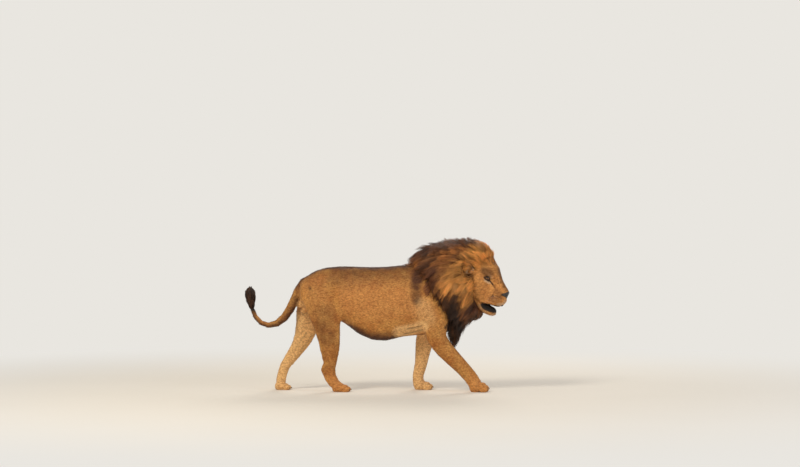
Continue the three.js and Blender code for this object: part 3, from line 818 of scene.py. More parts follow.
def umber_marks(points, facing, inner, trunk):
    x, y, z = points.T
    down = -facing[:, 2]
    from_back = distance_to(points, BACK) + 26 * drifts(points, 70)
    amount = 0.75 * hump(from_back, 50) + 0.15 * hump(from_back, 120)
    amount += (0.10 + 0.52 * soft(-480, -300, x)) * side_near(points, UPPER_FLANK, 40, 210)
    # painted shade where the skin of the trunk faces down
    amount += 0.25 * soft(0.4, 1.0, down) * soft(380, 460, z) * (x < 260) * (x > -300)
    amount *= trunk
    # painted shade in the crease behind the shoulder
    crease = side_near(points, SHOULDER_CREASE_SHADE, 8, 66) * soft(90, 130, np.abs(y))
    amount += 0.9 * crease * (1 + 0.5 * drifts(points, 52))
    amount += 0.30 * near(points, LEG_LINES["hind_right"][1:5], 60, 80) * (1 - inner) * soft(110, 200, z)
    # painted shade on the haunch, behind the edge where the flank is lit
    amount += 0.14 * soft(-330, -372, x + 14 * drifts(points, 60)) * soft(520, 700, z) * (x > -600)
    # painted shade on the inner side of the far foreleg, under the belly
    amount += 0.8 * near(points, FAR_FORELEG_SHADOW, 56, 50) * inner
    # painted shade under the tail, where its skin faces down
    amount += 0.55 * near(points, TAIL[2:9], 40, 20) * soft(-0.5, 0.4, down)
    return amount + painted(points, UMBER_PATCHES)


# %% [markdown]
# Sand is the pale inside of the legs and the loose skin at the elbow, and the far hind leg, pale all
# round, partly its own pale and partly painted light. Gold is the warm middle of the flank, partly its
# own tone and partly painted light where the flank is lit in front of the haunch, and the haunch and the
# feet. Cream is the short pale hair of chin, lips, eyelids and ears.

# %% Sand, gold and cream
SAND_PATCHES = [
    (0.5, [(400, 740), (424, 640)], 26, 90),                          # upper arm
    (0.95, [(190, 515), (300, 535), (385, 560)], 30, 40),             # loose skin at the elbow
    (0.6, [(-640, 0, 740), (-600, 0, 660), (-560, 0, 600)], 40, 40),  # between the hind legs
]
MIDDLE_FLANK = [(-230, 800), (0, 760), (240, 790)]
GOLD_PATCHES = [
    (0.45, [(-540, 900), (-500, 760)], 60, 110),            # haunch
    (0.5, [(380, -180, 720), (430, -185, 600)], 60, 60),    # right upper arm
]
CREAM_PATCHES = [
    (0.4, [(150, 0, -262), (110, 0, -284), (60, 0, -286)], 26, 30),       # chin
    (0.65, [(26, 54, -17), (6, 70, -18), (-10, 82, -13)], 4, 12),         # under the eye
    (0.35, [(20, 50, 34), (-4, 66, 38)], 5, 14),                          # over it
    (0.55, [(206, 10, -120), (198, 28, -136), (180, 44, -150)], 10, 26),  # upper lip
    (0.7, [(-150, 164, 10), (-146, 170, 34)], 24, 22),                    # inside the ear
    (0.3, [(100, 58, -240), (40, 62, -240)], 16, 20),                     # side of the jaw
]


def sand_marks(points, inner):
    z = points[:, 2]
    # the far hind leg pale all round, partly its own pale and partly painted light
    far_hind = near(points, LEG_LINES["hind_left"][1:], 95, 50) * (1 - soft(620, 760, z))
    far_fore = near(points, LEG_LINES["fore_left"][2:], 90, 40) * (1 - soft(380, 560, z))
    legs = 0.95 * inner + 0.95 * far_hind * (0.45 + 0.55 * soft(160, 330, z)) + 0.4 * far_fore
    return legs + painted(points, SAND_PATCHES)


def gold_marks(points):
    x, _, z = points.T
    # the warm middle of the flank, partly its own tone and partly painted light in front of the haunch
    flank = 0.75 * side_near(points, MIDDLE_FLANK, 60, 190) * soft(-350, -300, x)
    return flank + 0.8 * (1 - soft(70, 190, z)) + painted(points, GOLD_PATCHES)


# %% [markdown]
# Black is bare skin: nose, lips, eyelids and the spots that whiskers grow from. It is also the tail
# tuft and, thinly, small scars on the face. It is painted shade too: thin lines in the grooves between
# toes and in the creases between folds, the inside of the mouth and the slit behind each nostril; over
# each eye it is partly dark hair and partly painted shade of the brow.

# %% Black
BLACK_ON_HEAD = [
    (0.97, LOWER_LIP, 14, 8), (0.97, UPPER_LIP, 4, 4), (0.97, LID_LINE, 5, 5),
    # painted shade of the nostril's slit, drawn back from the nostril
    (0.85, [(186, 37, -57), (166, 45, -61)], 6, 9),           # behind the nostril
    (0.9, [(206, 0, -86), (208, 0, -150)], 3.5, 3),           # groove from nose to lip
    (0.9, [(206, 0, -92), (207, 0, -150)], 2.5, 3),           # its floor
    (0.9, [(22, 54, 0), (34, 46, -8), (54, 42, -20)], 3.5, 5),  # tear line
    (0.55, [(54, 42, -20), (84, 40, -36)], 3, 8),
    # partly dark hair and partly painted shade of the brow over the eye
    (0.45, [(-50, 92, 58), (-10, 82, 52)], 14, 32),           # smudge over the eye
    (0.18, [(10, 30, 100), (-40, 40, 140)], 26, 40),          # grey-brown forehead
    (0.5, [(-184, 130, -10), (-192, 160, 20)], 12, 16),       # back of the ear
]
BLACK_ON_BODY = [
    (0.7, [(-571, -150, 904), (-573, -150, 884)], 9, 9),      # old scar on the rump
    # painted shade in the creases between the folds at the elbow
    (0.42, [(240, 497), (310, 508), (385, 532)], 2, 10),      # folds at the elbow
    (0.42, [(262, 540), (330, 553), (385, 570)], 2, 10),
# painted shade in the grooves between the toes
] + [(0.4, line, 2, 6) for line in toe_lines()]
# painted shade in the creases between folds on the far hind shank
BLACK_ON_LEFT_SHANK = [
    (0.24, [(-658, 351), (-612, 410), (-564, 484)], 2, 9),
    (0.24, [(-700, 372), (-655, 440), (-610, 500)], 2, 9),
]
SCARRED = [[(160, 24, 4), (60, 40, 62)], [(150, 56, -90), (100, 58, -84)]]  # beside the bridge, and below it


def black_marks(points, facing, one):
    forward, aside, up = one.T
    down = facing @ -HEAD[2]
    # painted shade inside the mouth, on the roof that faces down and the floor that faces up
    roof = soft(0.25, 0.6, down) * soft(-215, -205, up) * (1 - soft(-150, -135, up))
    floor = soft(0.2, 0.5, -down) * soft(-262, -252, up) * (1 - soft(-196, -180, up))
    amount = 0.97 * soft(30, 46, forward) * (1 - soft(60, 68, aside)) * (roof + floor)  # of the mouth
    amount += 0.97 * nose_form(one)
    scarred = np.maximum(near(one, SCARRED[0], 24, 26), near(one, SCARRED[1], 22, 26))
    amount += 0.55 * scarred * soft(0.18, 0.42, drifts(points, 13))
    amount += 0.8 * sum(near(one, spot, 3.4, 4) for spot in WHISKER_SPOTS)
    amount += near(points, TAIL[8:], 60, 20) * soft(640, 700, points[:, 2])
    amount += painted(points, BLACK_ON_LEFT_SHANK) * (points[:, 1] > 0)
    return amount + painted(one, BLACK_ON_HEAD) + painted(points, BLACK_ON_BODY)


# %% [markdown]
# The five are then put together. Cream thins the umber under it, the trunk's markings stop at the
# head, and a last drift makes the umber uneven. Skin and tufts keep each amount as an attribute.

# %% The five markings, painted shade and light among them, of any point
def marks_and_shade(points, facing):
    """The five amounts, painted shade and light among them, for points in millimetres, with their normals.
    """
    x, y, z = points.T
    one = both_sides(to_head(points))
    on_head = soft(690, 780, x) * soft(600, 660, z)
    trunk = 1 - on_head
    to_middle = np.where(y > 0, -1.0, 1.0) * facing[:, 1]  # how far the skin faces the other legs
    inner = soft(0.0, 0.75, to_middle) * (1 - soft(600, 720, z)) * soft(30, 90, np.abs(y))
    umber = umber_marks(points, facing, inner, trunk) + painted(one, UMBER_ON_FACE) * on_head
    umber = np.clip(umber * (1 + 0.3 * drifts(points, 45)), 0, 1)
    cream = np.clip(painted(one, CREAM_PATCHES), 0, 1)
    return {
        "umber": umber * (1 - 0.8 * cream) * (1 - 0.35 * on_head),
        "sand": np.clip(sand_marks(points, inner), 0, 1) * trunk,
        "cream": cream * on_head,
        "black": np.clip(black_marks(points, facing, one), 0, 1),
        "gold": np.clip(gold_marks(points), 0, 1) * trunk + on_head * 0.6,
    }


def keep_marks(mesh, marks):
    for name, amount in marks.items():
        layer = mesh.attributes.new(name, "FLOAT", "POINT")
        layer.data.foreach_set("value", amount.astype(np.float32))


skin_marks = marks_and_shade(places(skin.data), outward(skin.data))
keep_marks(skin.data, skin_marks)
print("mean of each marking:", {name: round(float(amount.mean()), 2) for name, amount in skin_marks.items()})

# %% [markdown]
# The lie of the coat. Hair points away from the nose over the face, back along the trunk, down each
# leg to the toes and along the tail to its tuft. A direction is found for any point, and is then laid
# flat on the skin there.

# %% Which way the short hair lies
NOSE_TIP = (205, 0, -60)


def along_line(points, line):
    """Direction of the nearest stretch of a line, and the distance to it."""
    line = np.array(line, float)
    nearest = np.full(len(points), 1e9)
    heading = np.zeros_like(points)
    for start, end in zip(line[:-1], line[1:]):
        along = end - start
        share = np.clip((points - start) @ along / (along @ along), 0, 1)
        far = np.linalg.norm(points - start - share[:, None] * along, axis=1)
        closer = far < nearest
        nearest[closer], heading[closer] = far[closer], unit(along)
    return heading, nearest


def lie(points, facing):
    x, _, z = points.T
    way = np.tile([-1.0, 0.0, -0.35], (len(points), 1))
    way[:, 2] -= 0.6 * soft(220, 420, x)
    for line in LEG_LINES.values():
        heading, far = along_line(points, line)
        weight = (2.5 * (1 - soft(80, 170, far)) * (1 - soft(560, 860, z)))[:, None]
        way = way * (1 - np.minimum(weight, 1)) + heading * weight
    heading, far = along_line(points, TAIL)
    weight = ((1 - soft(50, 80, far)) * soft(-640, -680, x))[:, None]
    way = way * (1 - weight) + heading * weight
    nose = from_head(NOSE_TIP)
    head_part = (soft(720, 820, x) * soft(560, 640, z))[:, None]
    way = way * (1 - head_part) + unit(points - nose) * head_part
    flat = way - facing * (way * facing).sum(1)[:, None]
    return unit(flat + 1e-4)


print("hair on the flank heads", lie(np.array([[0.0, -200, 800]]), np.array([[0.0, -1, 0]]))[0].round(2))

# %% [markdown]
# Roots are scattered evenly by area, or more thickly where a weight says so. To keep them even, they
# are dealt out one by one along the running total of all triangles' areas.

# %% Scatter roots
def scatter(mesh, count, weight=None):
    """Places, normals and hide places of count roots, spread over the mesh by area and weight."""
    mesh.calc_loop_triangles()
    total = len(mesh.loop_triangles)
    corners, loops = np.empty(total * 3, int), np.empty(total * 3, int)
    mesh.loop_triangles.foreach_get("vertices", corners)
    mesh.loop_triangles.foreach_get("loops", loops)
    corners, loops = corners.reshape(-1, 3), loops.reshape(-1, 3)
    points, facing = places(mesh), outward(mesh)
    hide = np.empty(len(mesh.loops) * 2)
    mesh.uv_layers["OFBake"].data.foreach_get("uv", hide)
    hide = hide.reshape(-1, 2)
    a, b, c = (points[corners[:, k]] for k in range(3))
    area = np.linalg.norm(np.cross(b - a, c - a), axis=1) / 2
    if weight is not None:
        area = area * weight[corners].mean(1)
    rising = np.cumsum(area)
    wanted = (np.arange(count) + chance.random(count)) / count * rising[-1]
    pick = np.minimum(np.searchsorted(rising, wanted), total - 1)
    share = chance.random((count, 2))
    folded = share.sum(1) > 1
    share[folded] = 1 - share[folded]
    share = np.column_stack([1 - share.sum(1), share])[:, :, None]
    return ((points[corners[pick]] * share).sum(1), unit((facing[corners[pick]] * share).sum(1)),
            (hide[loops[pick]] * share).sum(1))


# %% [markdown]
# A lock is a solid with three sides that tapers to a point, because a flat card of hair would vanish
# when seen along its edge. All locks of a piece are made in one go, from arrays, as one mesh.

# %% Build locks of hair
PATCH = 0.003  # how wide a tuft's patch is on the hide


def locks(name, path, across, wide, thick, marks, hide, lean=None):
    """Solid tapering locks, three-sided, each along one row of path, as one mesh.
    path and across are (locks, rings + tip, 3) in millimetres, wide and thick (locks,)."""
    count, rings = path.shape[0], path.shape[1] - 1
    ahead = unit(np.gradient(path, axis=1))
    over = unit(np.cross(ahead, across))
    share = np.linspace(0, 1, rings + 1)
    taper = (np.minimum(1, 0.65 + 1.6 * share) * (1 - share) ** 0.75)[None, :rings, None]
    half = across[:, :rings] * wide[:, None, None] * taper / 2
    rise = over[:, :rings] * thick[:, None, None] * taper
    ring = np.stack([path[:, :rings] - half, path[:, :rings] + half, path[:, :rings] + rise], 2)
    points = np.concatenate([ring.reshape(count, rings * 3, 3), path[:, rings:]], 1)
    each = rings * 3 + 1
    faces = [(0, 2, 1)]
    for k in range(rings - 1):
        for i, j in ((0, 1), (1, 2), (2, 0)):
            low_i, low_j, high_i, high_j = 3 * k + i, 3 * k + j, 3 * k + 3 + i, 3 * k + 3 + j
            faces += [(low_i, low_j, high_j), (low_i, high_j, high_i)]
    last = 3 * (rings - 1)
    faces += [(last, last + 1, each - 1), (last + 1, last + 2, each - 1), (last + 2, last, each - 1)]
    faces = np.array(faces)
    first = points[0][faces]
    if (first[:, 0] * np.cross(first[:, 1], first[:, 2])).sum() < 0:
        faces = faces[:, ::-1]
    index = (faces[None] + np.arange(count)[:, None, None] * each).reshape(-1)
    mesh = bpy.data.meshes.new(name)
    mesh.vertices.add(count * each)
    mesh.loops.add(len(index))
    mesh.polygons.add(len(index) // 3)
    mesh.vertices.foreach_set("co", (points * MM).ravel())
    mesh.polygons.foreach_set("loop_start", np.arange(0, len(index), 3))
    mesh.loops.foreach_set("vertex_index", index)
    mesh.update(calc_edges=True)
    local_share = np.concatenate([np.repeat(share[:rings], 3), [1.0]])
    spread = np.concatenate([np.tile([-0.5, 0.5, 0.0], rings), [0.0]])
    flat = np.empty((count, each, 2))
    flat[:, :, 0] = hide[:, :1] + spread * PATCH
    flat[:, :, 1] = hide[:, 1:] + (local_share - 0.5) * PATCH
    mesh.uv_layers.new(name="OFBake").data.foreach_set("uv", flat.reshape(-1, 2)[index].ravel())
    keep_marks(mesh, {key: np.repeat(value, each) for key, value in marks.items()})
    keep_marks(mesh, {"tip": np.tile(local_share, count)})
    mesh.shade_smooth()
    if lean is not None:
        strength, facing = lean
        normals = outward(mesh) * (1 - strength) + np.repeat(facing, each, 0) * strength
        mesh.normals_split_custom_set_from_vertices(unit(normals).tolist())
    made = put(name, mesh)
    print(name, count, "locks,", len(index) // 3, "triangles")
    return made


# %% [markdown]
# The short coat. A lion's body hair is only a centimetre or two long and lies flat, so each tuft is
# one thin blade, root to tip, laid like a roof tile over the next. They are smallest on face and feet.

# %% Short tufts over the whole skin
SHORTER_AT_ELBOW = [(230, 510), (310, 535), (385, 560)]


def hair_length(points):
    """Longest on the trunk, shorter to the feet and at the elbow, and shortest round the nose."""
    local = to_head(points)
    z = points[:, 2]
    length = 13 + 7 * soft(250, 650, z)
    length -= 4 * (1 - soft(60, 130, z)) + 8 * side_near(points, SHORTER_AT_ELBOW, 36, 30)
    face = near(local, FACE_LINE, 170, 80) * soft(700, 800, points[:, 0])
    nose_way = np.linalg.norm(local - [205, 0, -80], axis=1)
    return length * (1 - face) + face * (3.5 + 9 * soft(20, 230, nose_way))


def short_tufts(name, roots, facing, hide):
    length = hair_length(roots) * chance.uniform(0.7, 1.3, len(roots))
    way = lie(roots, facing)
    across = unit(np.cross(way, facing))
    way = unit(way + across * chance.normal(0, 0.16, len(roots))[:, None]
               + facing * chance.uniform(0.10, 0.34, len(roots))[:, None])
    start = roots - facing * 0.6
    path = np.stack([start, start + way * length[:, None]], 1)
    path[:, :, 2] = np.maximum(path[:, :, 2], 0.5)
    marks = marks_and_shade(roots, facing)
    marks["shade"] = np.clip(chance.normal(0.5, 0.22, len(roots)), 0, 1)
    return locks(name, path, np.stack([across, across], 1), length * 0.26, length * 0.10, marks, hide,
                 lean=(0.75, facing))


SHORT_TUFTS = 82_000
p = places(skin.data)
local = to_head(p)
one = both_sides(local)
bare = np.maximum.reduce([
    nose_form(one), near(one, LOWER_LIP, 13, 4), near(one, UPPER_LIP, 3, 3),
    near(one, [(150, 0, -190), (60, 0, -200)], 40, 6),  # the mouth
    near(one, EYE_MIDDLE, 22, 3), 1 - soft(6, 14, p[:, 2])])
under_mane = soft(470, 520, p[:, 0]) * (1 - soft(740, 800, p[:, 0])) * soft(560, 640, p[:, 2])
skull = soft(-60, -90, local[:, 0]) * soft(700, 800, p[:, 0])  # the mane covers it
face_dense = near(local, FACE_LINE, 170, 40) * soft(780, 820, p[:, 0])
weight = (1 - bare) * (1 - under_mane) * (1 - skull) * (1 + 3.2 * face_dense)
roots, facing, hide = scatter(skin.data, SHORT_TUFTS, weight)
coat = []
for name, chosen in (("coat_right", roots[:, 1] < 0), ("coat_left", roots[:, 1] >= 0)):
    coat.append(short_tufts(name, roots[chosen], facing[chosen], hide[chosen]))

# %% [markdown]
# The mane. Its long hair grows from the neck, but so much of it would never be seen that it starts
# on a core instead: the carved mane, melted, smoothed and drawn in by some centimetres. Locks are
# rooted on the core and on the skin round it, and each follows the flow of the mane step by step.

# %% The borders of the mane, and heights over a surface
def bed_of(meshes):
    """A tree of the faces of some meshes, to find the nearest place on them."""
    work = bmesh.new()
    for mesh in meshes:
        work.from_mesh(mesh)
    tree = BVHTree.FromBMesh(work)
    work.free()
    return tree


def height_over(tree, points):
    """How far points stand over a surface, in millimetres, less than nothing inside it; and its normals."""
    heights, facing = np.empty(len(points)), np.empty((len(points), 3))
    for i, spot in enumerate(points * MM):
        nearest = tree.find_nearest(spot)
        heights[i] = (Vector(spot) - nearest[0]).dot(nearest[1]) / MM
        facing[i] = nearest[1]
    return heights, facing


def face_border(local):
    """How far a point of the head lies behind the border of the face."""
    forward, up = local[:, 0], local[:, 2]
    border = -42 - 72 * hump(up - 14, 70) + 105 * (1 - soft(-268, -222, up)) + 40 * soft(95, 145, up)
    return border - forward


def rear_edge(up):
    """How far forward the mane ends on the shoulder, at each height."""
    return np.interp(up, [560, 680, 790, 1000, 1060, 1110], [590, 557, 470, 450, 420, 200])


# %% [markdown]
# The core itself. It is drawn in less at the slim chest and more at the brow, dips under the skin at
# the face, and sinks into the shoulder towards its rear hem, so that only hair ever shows.

# %% The core under the mane
CORE_GRID, CORE_DEPTH = 11, 34
UNDER_FACE, UNDER_HEM = 16, 6  # how far the core stays inside the face, and inside the shoulder
skin_tree = bed_of([skin.data])
core = voxelled(joined("mane_core", [merged([name]) for name in ("mane", "chest_mane", "head")]), CORE_GRID)
relax(core.data, 30)
p = places(core.data)
slim = near(p, [(655, 0, 650), (660, 0, 430)], 90, 60)
brow = side_near(p, [(1015, 1150), (1000, 1240)], 50, 60)
swell(core.data, -CORE_DEPTH * (1 - 0.7 * slim + 0.1 * brow))
relax(core.data, 8)
p = places(core.data)
over_skin, away = height_over(skin_tree, p)
on_face = 1 - soft(-8, 10, face_border(to_head(p)))
on_face *= (1 - soft(20, 44, over_skin)) * soft(720, 800, p[:, 0])
hem = 1 - soft(-10, 110, p[:, 0] - np.maximum(rear_edge(p[:, 2]), 290))
hem *= (1 - soft(26, 76, over_skin)) * (1 - on_face)
sink = np.maximum(over_skin + UNDER_FACE, 0) * on_face + np.maximum(over_skin + UNDER_HEM, 0) * hem
move_to(core.data, p - away * sink[:, None])
relax(core.data, 4)
unwrap(core)
print("mane core:", len(core.data.vertices), "points")

# %% [markdown]
# The flow. Mane hair leaves the face like rays, arches back over the crown, and hangs down the chest.
# A comb stroke is noted at some places seen from the side, and between them the strokes are blended
# by distance.

# %% The flow of the mane
FLOW = [  # a place, x and z, and the way that the hair heads there, along x and up
    (1010, 1130, -0.25, 1.0), (960, 1220, -0.5, 0.9), (900, 1270, -0.7, 0.75), (800, 1300, -0.85, 0.5),
    (650, 1300, -0.95, 0.25), (500, 1270, -1.0, 0.05), (380, 1190, -1.0, -0.3), (900, 1160, -0.65, 0.75),
    (800, 1170, -0.9, 0.4), (650, 1150, -1.0, 0.0), (520, 1120, -0.9, -0.35), (800, 1060, -0.95, 0.15),
    (700, 1030, -0.95, -0.2), (560, 980, -0.8, -0.6), (470, 950, -0.65, -0.75), (820, 930, -0.85, -0.5),
    (720, 900, -0.7, -0.7), (600, 850, -0.35, -0.95), (850, 830, -0.6, -0.8), (740, 780, -0.35, -0.95),
    (500, 800, -0.3, -0.95), (880, 740, -0.45, -0.9), (820, 660, -0.75, -0.65), (650, 650, 0.0, -1.0),
    (660, 480, 0.0, -1.0), (560, 650, 0.05, -1.0), (920, 690, -0.4, -0.9), (750, 600, -0.4, -0.9),
]
FLOW_BLUR = 30   # millimetres over which one stroke gives way to the next
FLOW_SPREAD = 0.6  # how much the hair of the front also spreads away from the face
FACE_CENTRE = (20.0, 0.0, -40.0)


def flow(points):
    guides = np.array(FLOW)
    gap = (points[:, 0, None] - guides[:, 0]) ** 2 + (points[:, 2, None] - guides[:, 1]) ** 2
    weight = 1 / (gap + FLOW_BLUR ** 2) ** 1.5
    heading = weight @ guides[:, 2:] / weight.sum(1)[:, None]
    way = np.stack([heading[:, 0], np.zeros(len(points)), heading[:, 1]], 1)
    spread = to_head(points) - FACE_CENTRE
    ring = spread[:, 1] / np.maximum(np.linalg.norm(spread[:, 1:], axis=1), 1)
    frontal = soft(620, 860, points[:, 0])
    return unit(way + HEAD[1] * (ring * frontal * FLOW_SPREAD)[:, None])


# %% [markdown]
# A mane is never one brown. It is gold round the face, brown between, umber along the top and at the
# neck, and black low on the neck and the chest. On the crest and by the ear the gold is drawn lighter as
# painted light, and one dark line by the ear is painted shade in a parting of the hair.

# %% Colours of the mane
MANE_PATCHES = {
    "gold": [
        (0.85, [(980, 1160), (900, 1130), (800, 1080), (760, 980), (800, 880)], 50, 80),
        (0.45, [(820, 900), (870, 830)], 44, 50),
        (0.55, [(700, 1040), (600, 960)], 34, 80),
        # painted light: lighter gold where light falls on the crest and by the ear
        (0.6, [(890, 1200), (950, 1220)], 44, 50),
        (0.4, [(730, 1000), (690, 960)], 24, 50),
    ],
    "umber": [
        (0.9, [(400, 1250), (560, 1300), (700, 1320), (820, 1320)], 60, 70),
        (0.5, [(880, 1320), (990, 1270)], 20, 40),
        (0.85, [(500, 1060), (500, 920), (530, 800)], 48, 70),
        (0.45, [(640, 1100), (560, 1020)], 16, 44),
        (0.6, [(860, 720), (800, 680)], 50, 50),
        (0.45, [(760, 800), (830, 770)], 24, 50),
    ],
    "black": [
        (0.85, [(560, 800), (600, 720), (650, 620), (660, 430)], 62, 70),
        (0.75, [(690, 880), (690, 740), (720, 640)], 20, 44),
        (0.7, [(790, 600), (850, 612), (905, 640)], 30, 50),
        (0.8, [(215, 1100), (310, 1140)], 30, 24),    # where the mane ends on the back
        # painted shade in the parting of the hair by the ear
        (0.6, [(832, 1058), (800, 1000)], 6, 16),     # the parting by the ear
    ],
}


def mane_marks(points):
    marks = {name: np.clip(painted(points, patches), 0, 1) for name, patches in MANE_PATCHES.items()}
    for name in ("gold", "umber"):
        marks[name] *= 1 - marks["black"]
    return marks


def even_marks(gold, black):
    """A way to paint that gives every lock the same amounts."""
    return lambda points: {"gold": np.full(len(points), gold), "umber": np.zeros(len(points)),
                           "black": np.full(len(points), black)}


print({name: len(patches) for name, patches in MANE_PATCHES.items()}, "patches,", len(FLOW), "strokes")

# %% [markdown]
# Growing the locks. From its root each lock takes short steps along the flow. A bed, which is the
# core and the skin together, keeps it out of the body: the lock climbs to its own height over the bed
# and stays there. Hair also clings together, so every lock is then drawn towards the nearest of a few
# leaders, more and more to the tip, and takes most of its shade from it.

# %% Grow, gather and build locks
WIDEST = 268  # millimetres to either side, past which the mane is held in
HOLD_IN = 0.65  # the share of the way back that each step takes there
DARK_LOCKS = 0.42  # the share of locks in the dark tones
SUNLIT = 0.22  # how much lighter the golden locks are


def grow(bed, flow, roots, facing, length, stand, steps, wander, climb):
    """Paths of locks from their roots, rising to the height stand over the bed, no steeper than climb."""
    points, upward = roots - facing * 3, facing
    path, step = [points], (length / steps)[:, None]
    sway = chance.normal(0, wander, (len(roots), 3))
    for _ in range(steps):
        height, nearest = height_over(bed, points)
        upward = unit(upward + nearest)
        way = flow(points) + sway
        dive = (way * upward).sum(1)
        way = unit(way - upward * np.minimum(dive, 0)[:, None])
        rise = np.clip((stand - height) / step[:, 0], -0.45, climb)
        points = points + unit(way + upward * rise[:, None]) * step
        points[:, 1] -= HOLD_IN * (points[:, 1] - np.clip(points[:, 1], -WIDEST, WIDEST))
        path.append(points)
    path = np.stack(path, 1)
    for _ in range(2):  # takes the kinks out
        path[:, 1:-1] = 0.5 * path[:, 1:-1] + 0.25 * (path[:, :-2] + path[:, 2:])
    return path


def gather(path, shade, together, pull):
    """Draws each lock towards the nearest leader, and mixes their shades."""
    leaders = chance.choice(len(path), max(1, len(path) // together), replace=False)
    tree = KDTree(len(leaders))
    for i, leader in enumerate(leaders):
        tree.insert(path[leader, 1], i)
    tree.balance()
    mine = leaders[[tree.find(spot)[1] for spot in path[:, 1]]]
    share = np.linspace(0, 1, path.shape[1])[None, :, None]
    offset = (path[:, :1] - path[mine, :1]) * (1 - 0.8 * share)
    close = 1 - soft(40, 90, np.linalg.norm(path[:, 0] - path[mine, 0], axis=1))
    drawn = path + (path[mine] + offset - path) * share * pull * close[:, None, None]
    return drawn, 0.8 * shade[mine] + 0.2 * shade


def mane_piece(name, made_on, bed, length, wide, stand, climb=1.1, steps=5, wander=0.13, flow=flow,
               paint=mane_marks, together=22, pull=0.75):
    """Locks on the places, normals and hide places of made_on; together is how many share a leader."""
    roots, facing, hide = made_on
    path = grow(bed, flow, roots, facing, length, stand, steps, wander, climb)
    dark = chance.random(len(roots)) < DARK_LOCKS
    shade = np.where(dark, chance.uniform(0, 0.25, len(roots)), chance.uniform(0.45, 1, len(roots)))
    path, shade = gather(path, shade, together, pull)
    across = unit(np.cross(unit(np.gradient(path, axis=1)), facing[:, None] + 0.05))
    marks = paint(roots)
    marks["shade"] = np.clip(shade + SUNLIT * marks["gold"], 0, 1)
    return locks(name, path, across, wide, wide * 0.4, marks, hide, lean=(0.3, facing))


def chosen(made_on, pick):
    return tuple(part[pick] for part in made_on)


mane_bed = bed_of([core.data, skin.data])

# %% [markdown]
# Most locks are rooted on the core: long on the neck and down the chest, shorter on the crown and at
# the rear edge. Some stand free of the rest, mostly on the crest, and break the outline as real
# strands do.

# %% Locks rooted on the core
CORE_LOCKS = 36_000
PARTS = 4  # the mane is kept as this many pieces on each side, so that none is too heavy
STRAY = 0.07  # the share of locks that stand free of the rest
STAND, FREE_STAND = (8, 32), (18, 50)  # the least and the most height over the bed, and what free ones add
LEAST_WIDE, MORE_WIDE = 2.4, 4.0
made_on = scatter(core.data, CORE_LOCKS)
over_skin = height_over(skin_tree, made_on[0])[0]
in_face = (face_border(to_head(made_on[0])) < 4) & (over_skin < 16) & (made_on[0][:, 0] > 760)
shown = (over_skin > -4) & ~in_face
made_on = chosen(made_on, shown)
roots = made_on[0]
many, x, z = len(roots), roots[:, 0], roots[:, 2]
length = 105 + 60 * side_near(roots, [(560, 1000), (700, 800), (650, 600)], 120, 80)   # neck and chest
length -= 30 * soft(1200, 1270, z) + 30 * (1 - soft(330, 450, x)) + 25 * soft(900, 960, x)
length += 45 * soft(1120, 1170, z) * (1 - soft(420, 520, x))                           # withers
length -= 40 * soft(680, 740, x) * (1 - soft(680, 760, z))                             # throat
length = np.minimum(length, 34 + 1.1 * np.maximum(x - rear_edge(z), 0))                # rear edge
length *= chance.uniform(0.7, 1.25, many)
stand = chance.uniform(*STAND, many)
crest = soft(1170, 1250, z)
free = chance.random(many) < STRAY
free |= chance.random(many) < crest * 0.8 * (1 - soft(840, 900, x))
stand = np.where(free, stand + chance.uniform(*FREE_STAND, many) * (0.4 + 0.6 * crest), stand)
climb = np.where(free, chance.uniform(0.45, 0.95, many), 1.0)
wide = LEAST_WIDE + MORE_WIDE * chance.random(many) ** 1.6
band = np.clip((x - x.min()) / (x.max() - x.min()) * PARTS, 0, PARTS - 0.01).astype(int)
mane = []
for side, on_side in (("right", roots[:, 1] < 0), ("left", roots[:, 1] >= 0)):
    for k in range(PARTS):
        pick = on_side & (band == k)
        mane.append(mane_piece(f"mane_{side}_{k + 1}", chosen(made_on, pick), mane_bed,
                               length[pick], wide[pick], stand[pick], climb[pick]))
print((~shown).sum(), "roots under the skin were left out")

# %% [markdown]
# Where the mane meets short hair there is no edge: the hair grows longer over some centimetres. These
# fringes are rooted on the skin itself, round the face, under the jaw and over the shoulders.

# %% The fringe round the face
FACE_LOCKS, SHOULDER_LOCKS, EAR_LOCKS = 12_000, 8600, 700
core_tree = bed_of([core.data])
p = places(skin.data)
local = to_head(p)
weight = soft(-14, 6, face_border(local)) * soft(740, 790, p[:, 0]) * (local[:, 0] > -185)
made_on = scatter(skin.data, FACE_LOCKS, weight)
made_on = chosen(made_on, height_over(core_tree, made_on[0])[0] > -12)
rooted = to_head(made_on[0])
reach, top = soft(-10, 85, face_border(rooted)), soft(90, 140, rooted[:, 2])
many = len(reach)
length = (12 + 90 * reach) * chance.uniform(0.75, 1.25, many)
wide = 1.8 + 2.4 * reach * chance.uniform(0.6, 1.2, many)
stand = 3 + (20 + 20 * top) * reach * chance.uniform(0.5, 1.2, many)
mane.append(mane_piece("mane_face", made_on, mane_bed, length, wide, stand, pull=0.4))

# %% [markdown]
# Over the shoulders the locks are long beside the core, and shorten to the length of the coat.

# %% The fringe over the shoulders
weight = soft(-55, 0, p[:, 0] - rear_edge(p[:, 2])) * (1 - soft(640, 700, p[:, 0]))
weight *= soft(540, 600, p[:, 2]) * (np.abs(p[:, 1]) < 230)
made_on = scatter(skin.data, SHOULDER_LOCKS, weight)
over = height_over(core_tree, made_on[0])[0]
pick = (over > -14) & (over < 62)
made_on, over = chosen(made_on, pick), over[pick]
reach = 1 - soft(0, 62, over)
length = (16 + 64 * reach) * chance.uniform(0.7, 1.3, len(reach))
wide, stand = 2.4 + 2.6 * reach, 3 + 12 * reach
mane.append(mane_piece("mane_shoulder", made_on, mane_bed, length, wide, stand, steps=4))

# %% [markdown]
# The ears are small and round, and long pale hairs stand in their hollows.

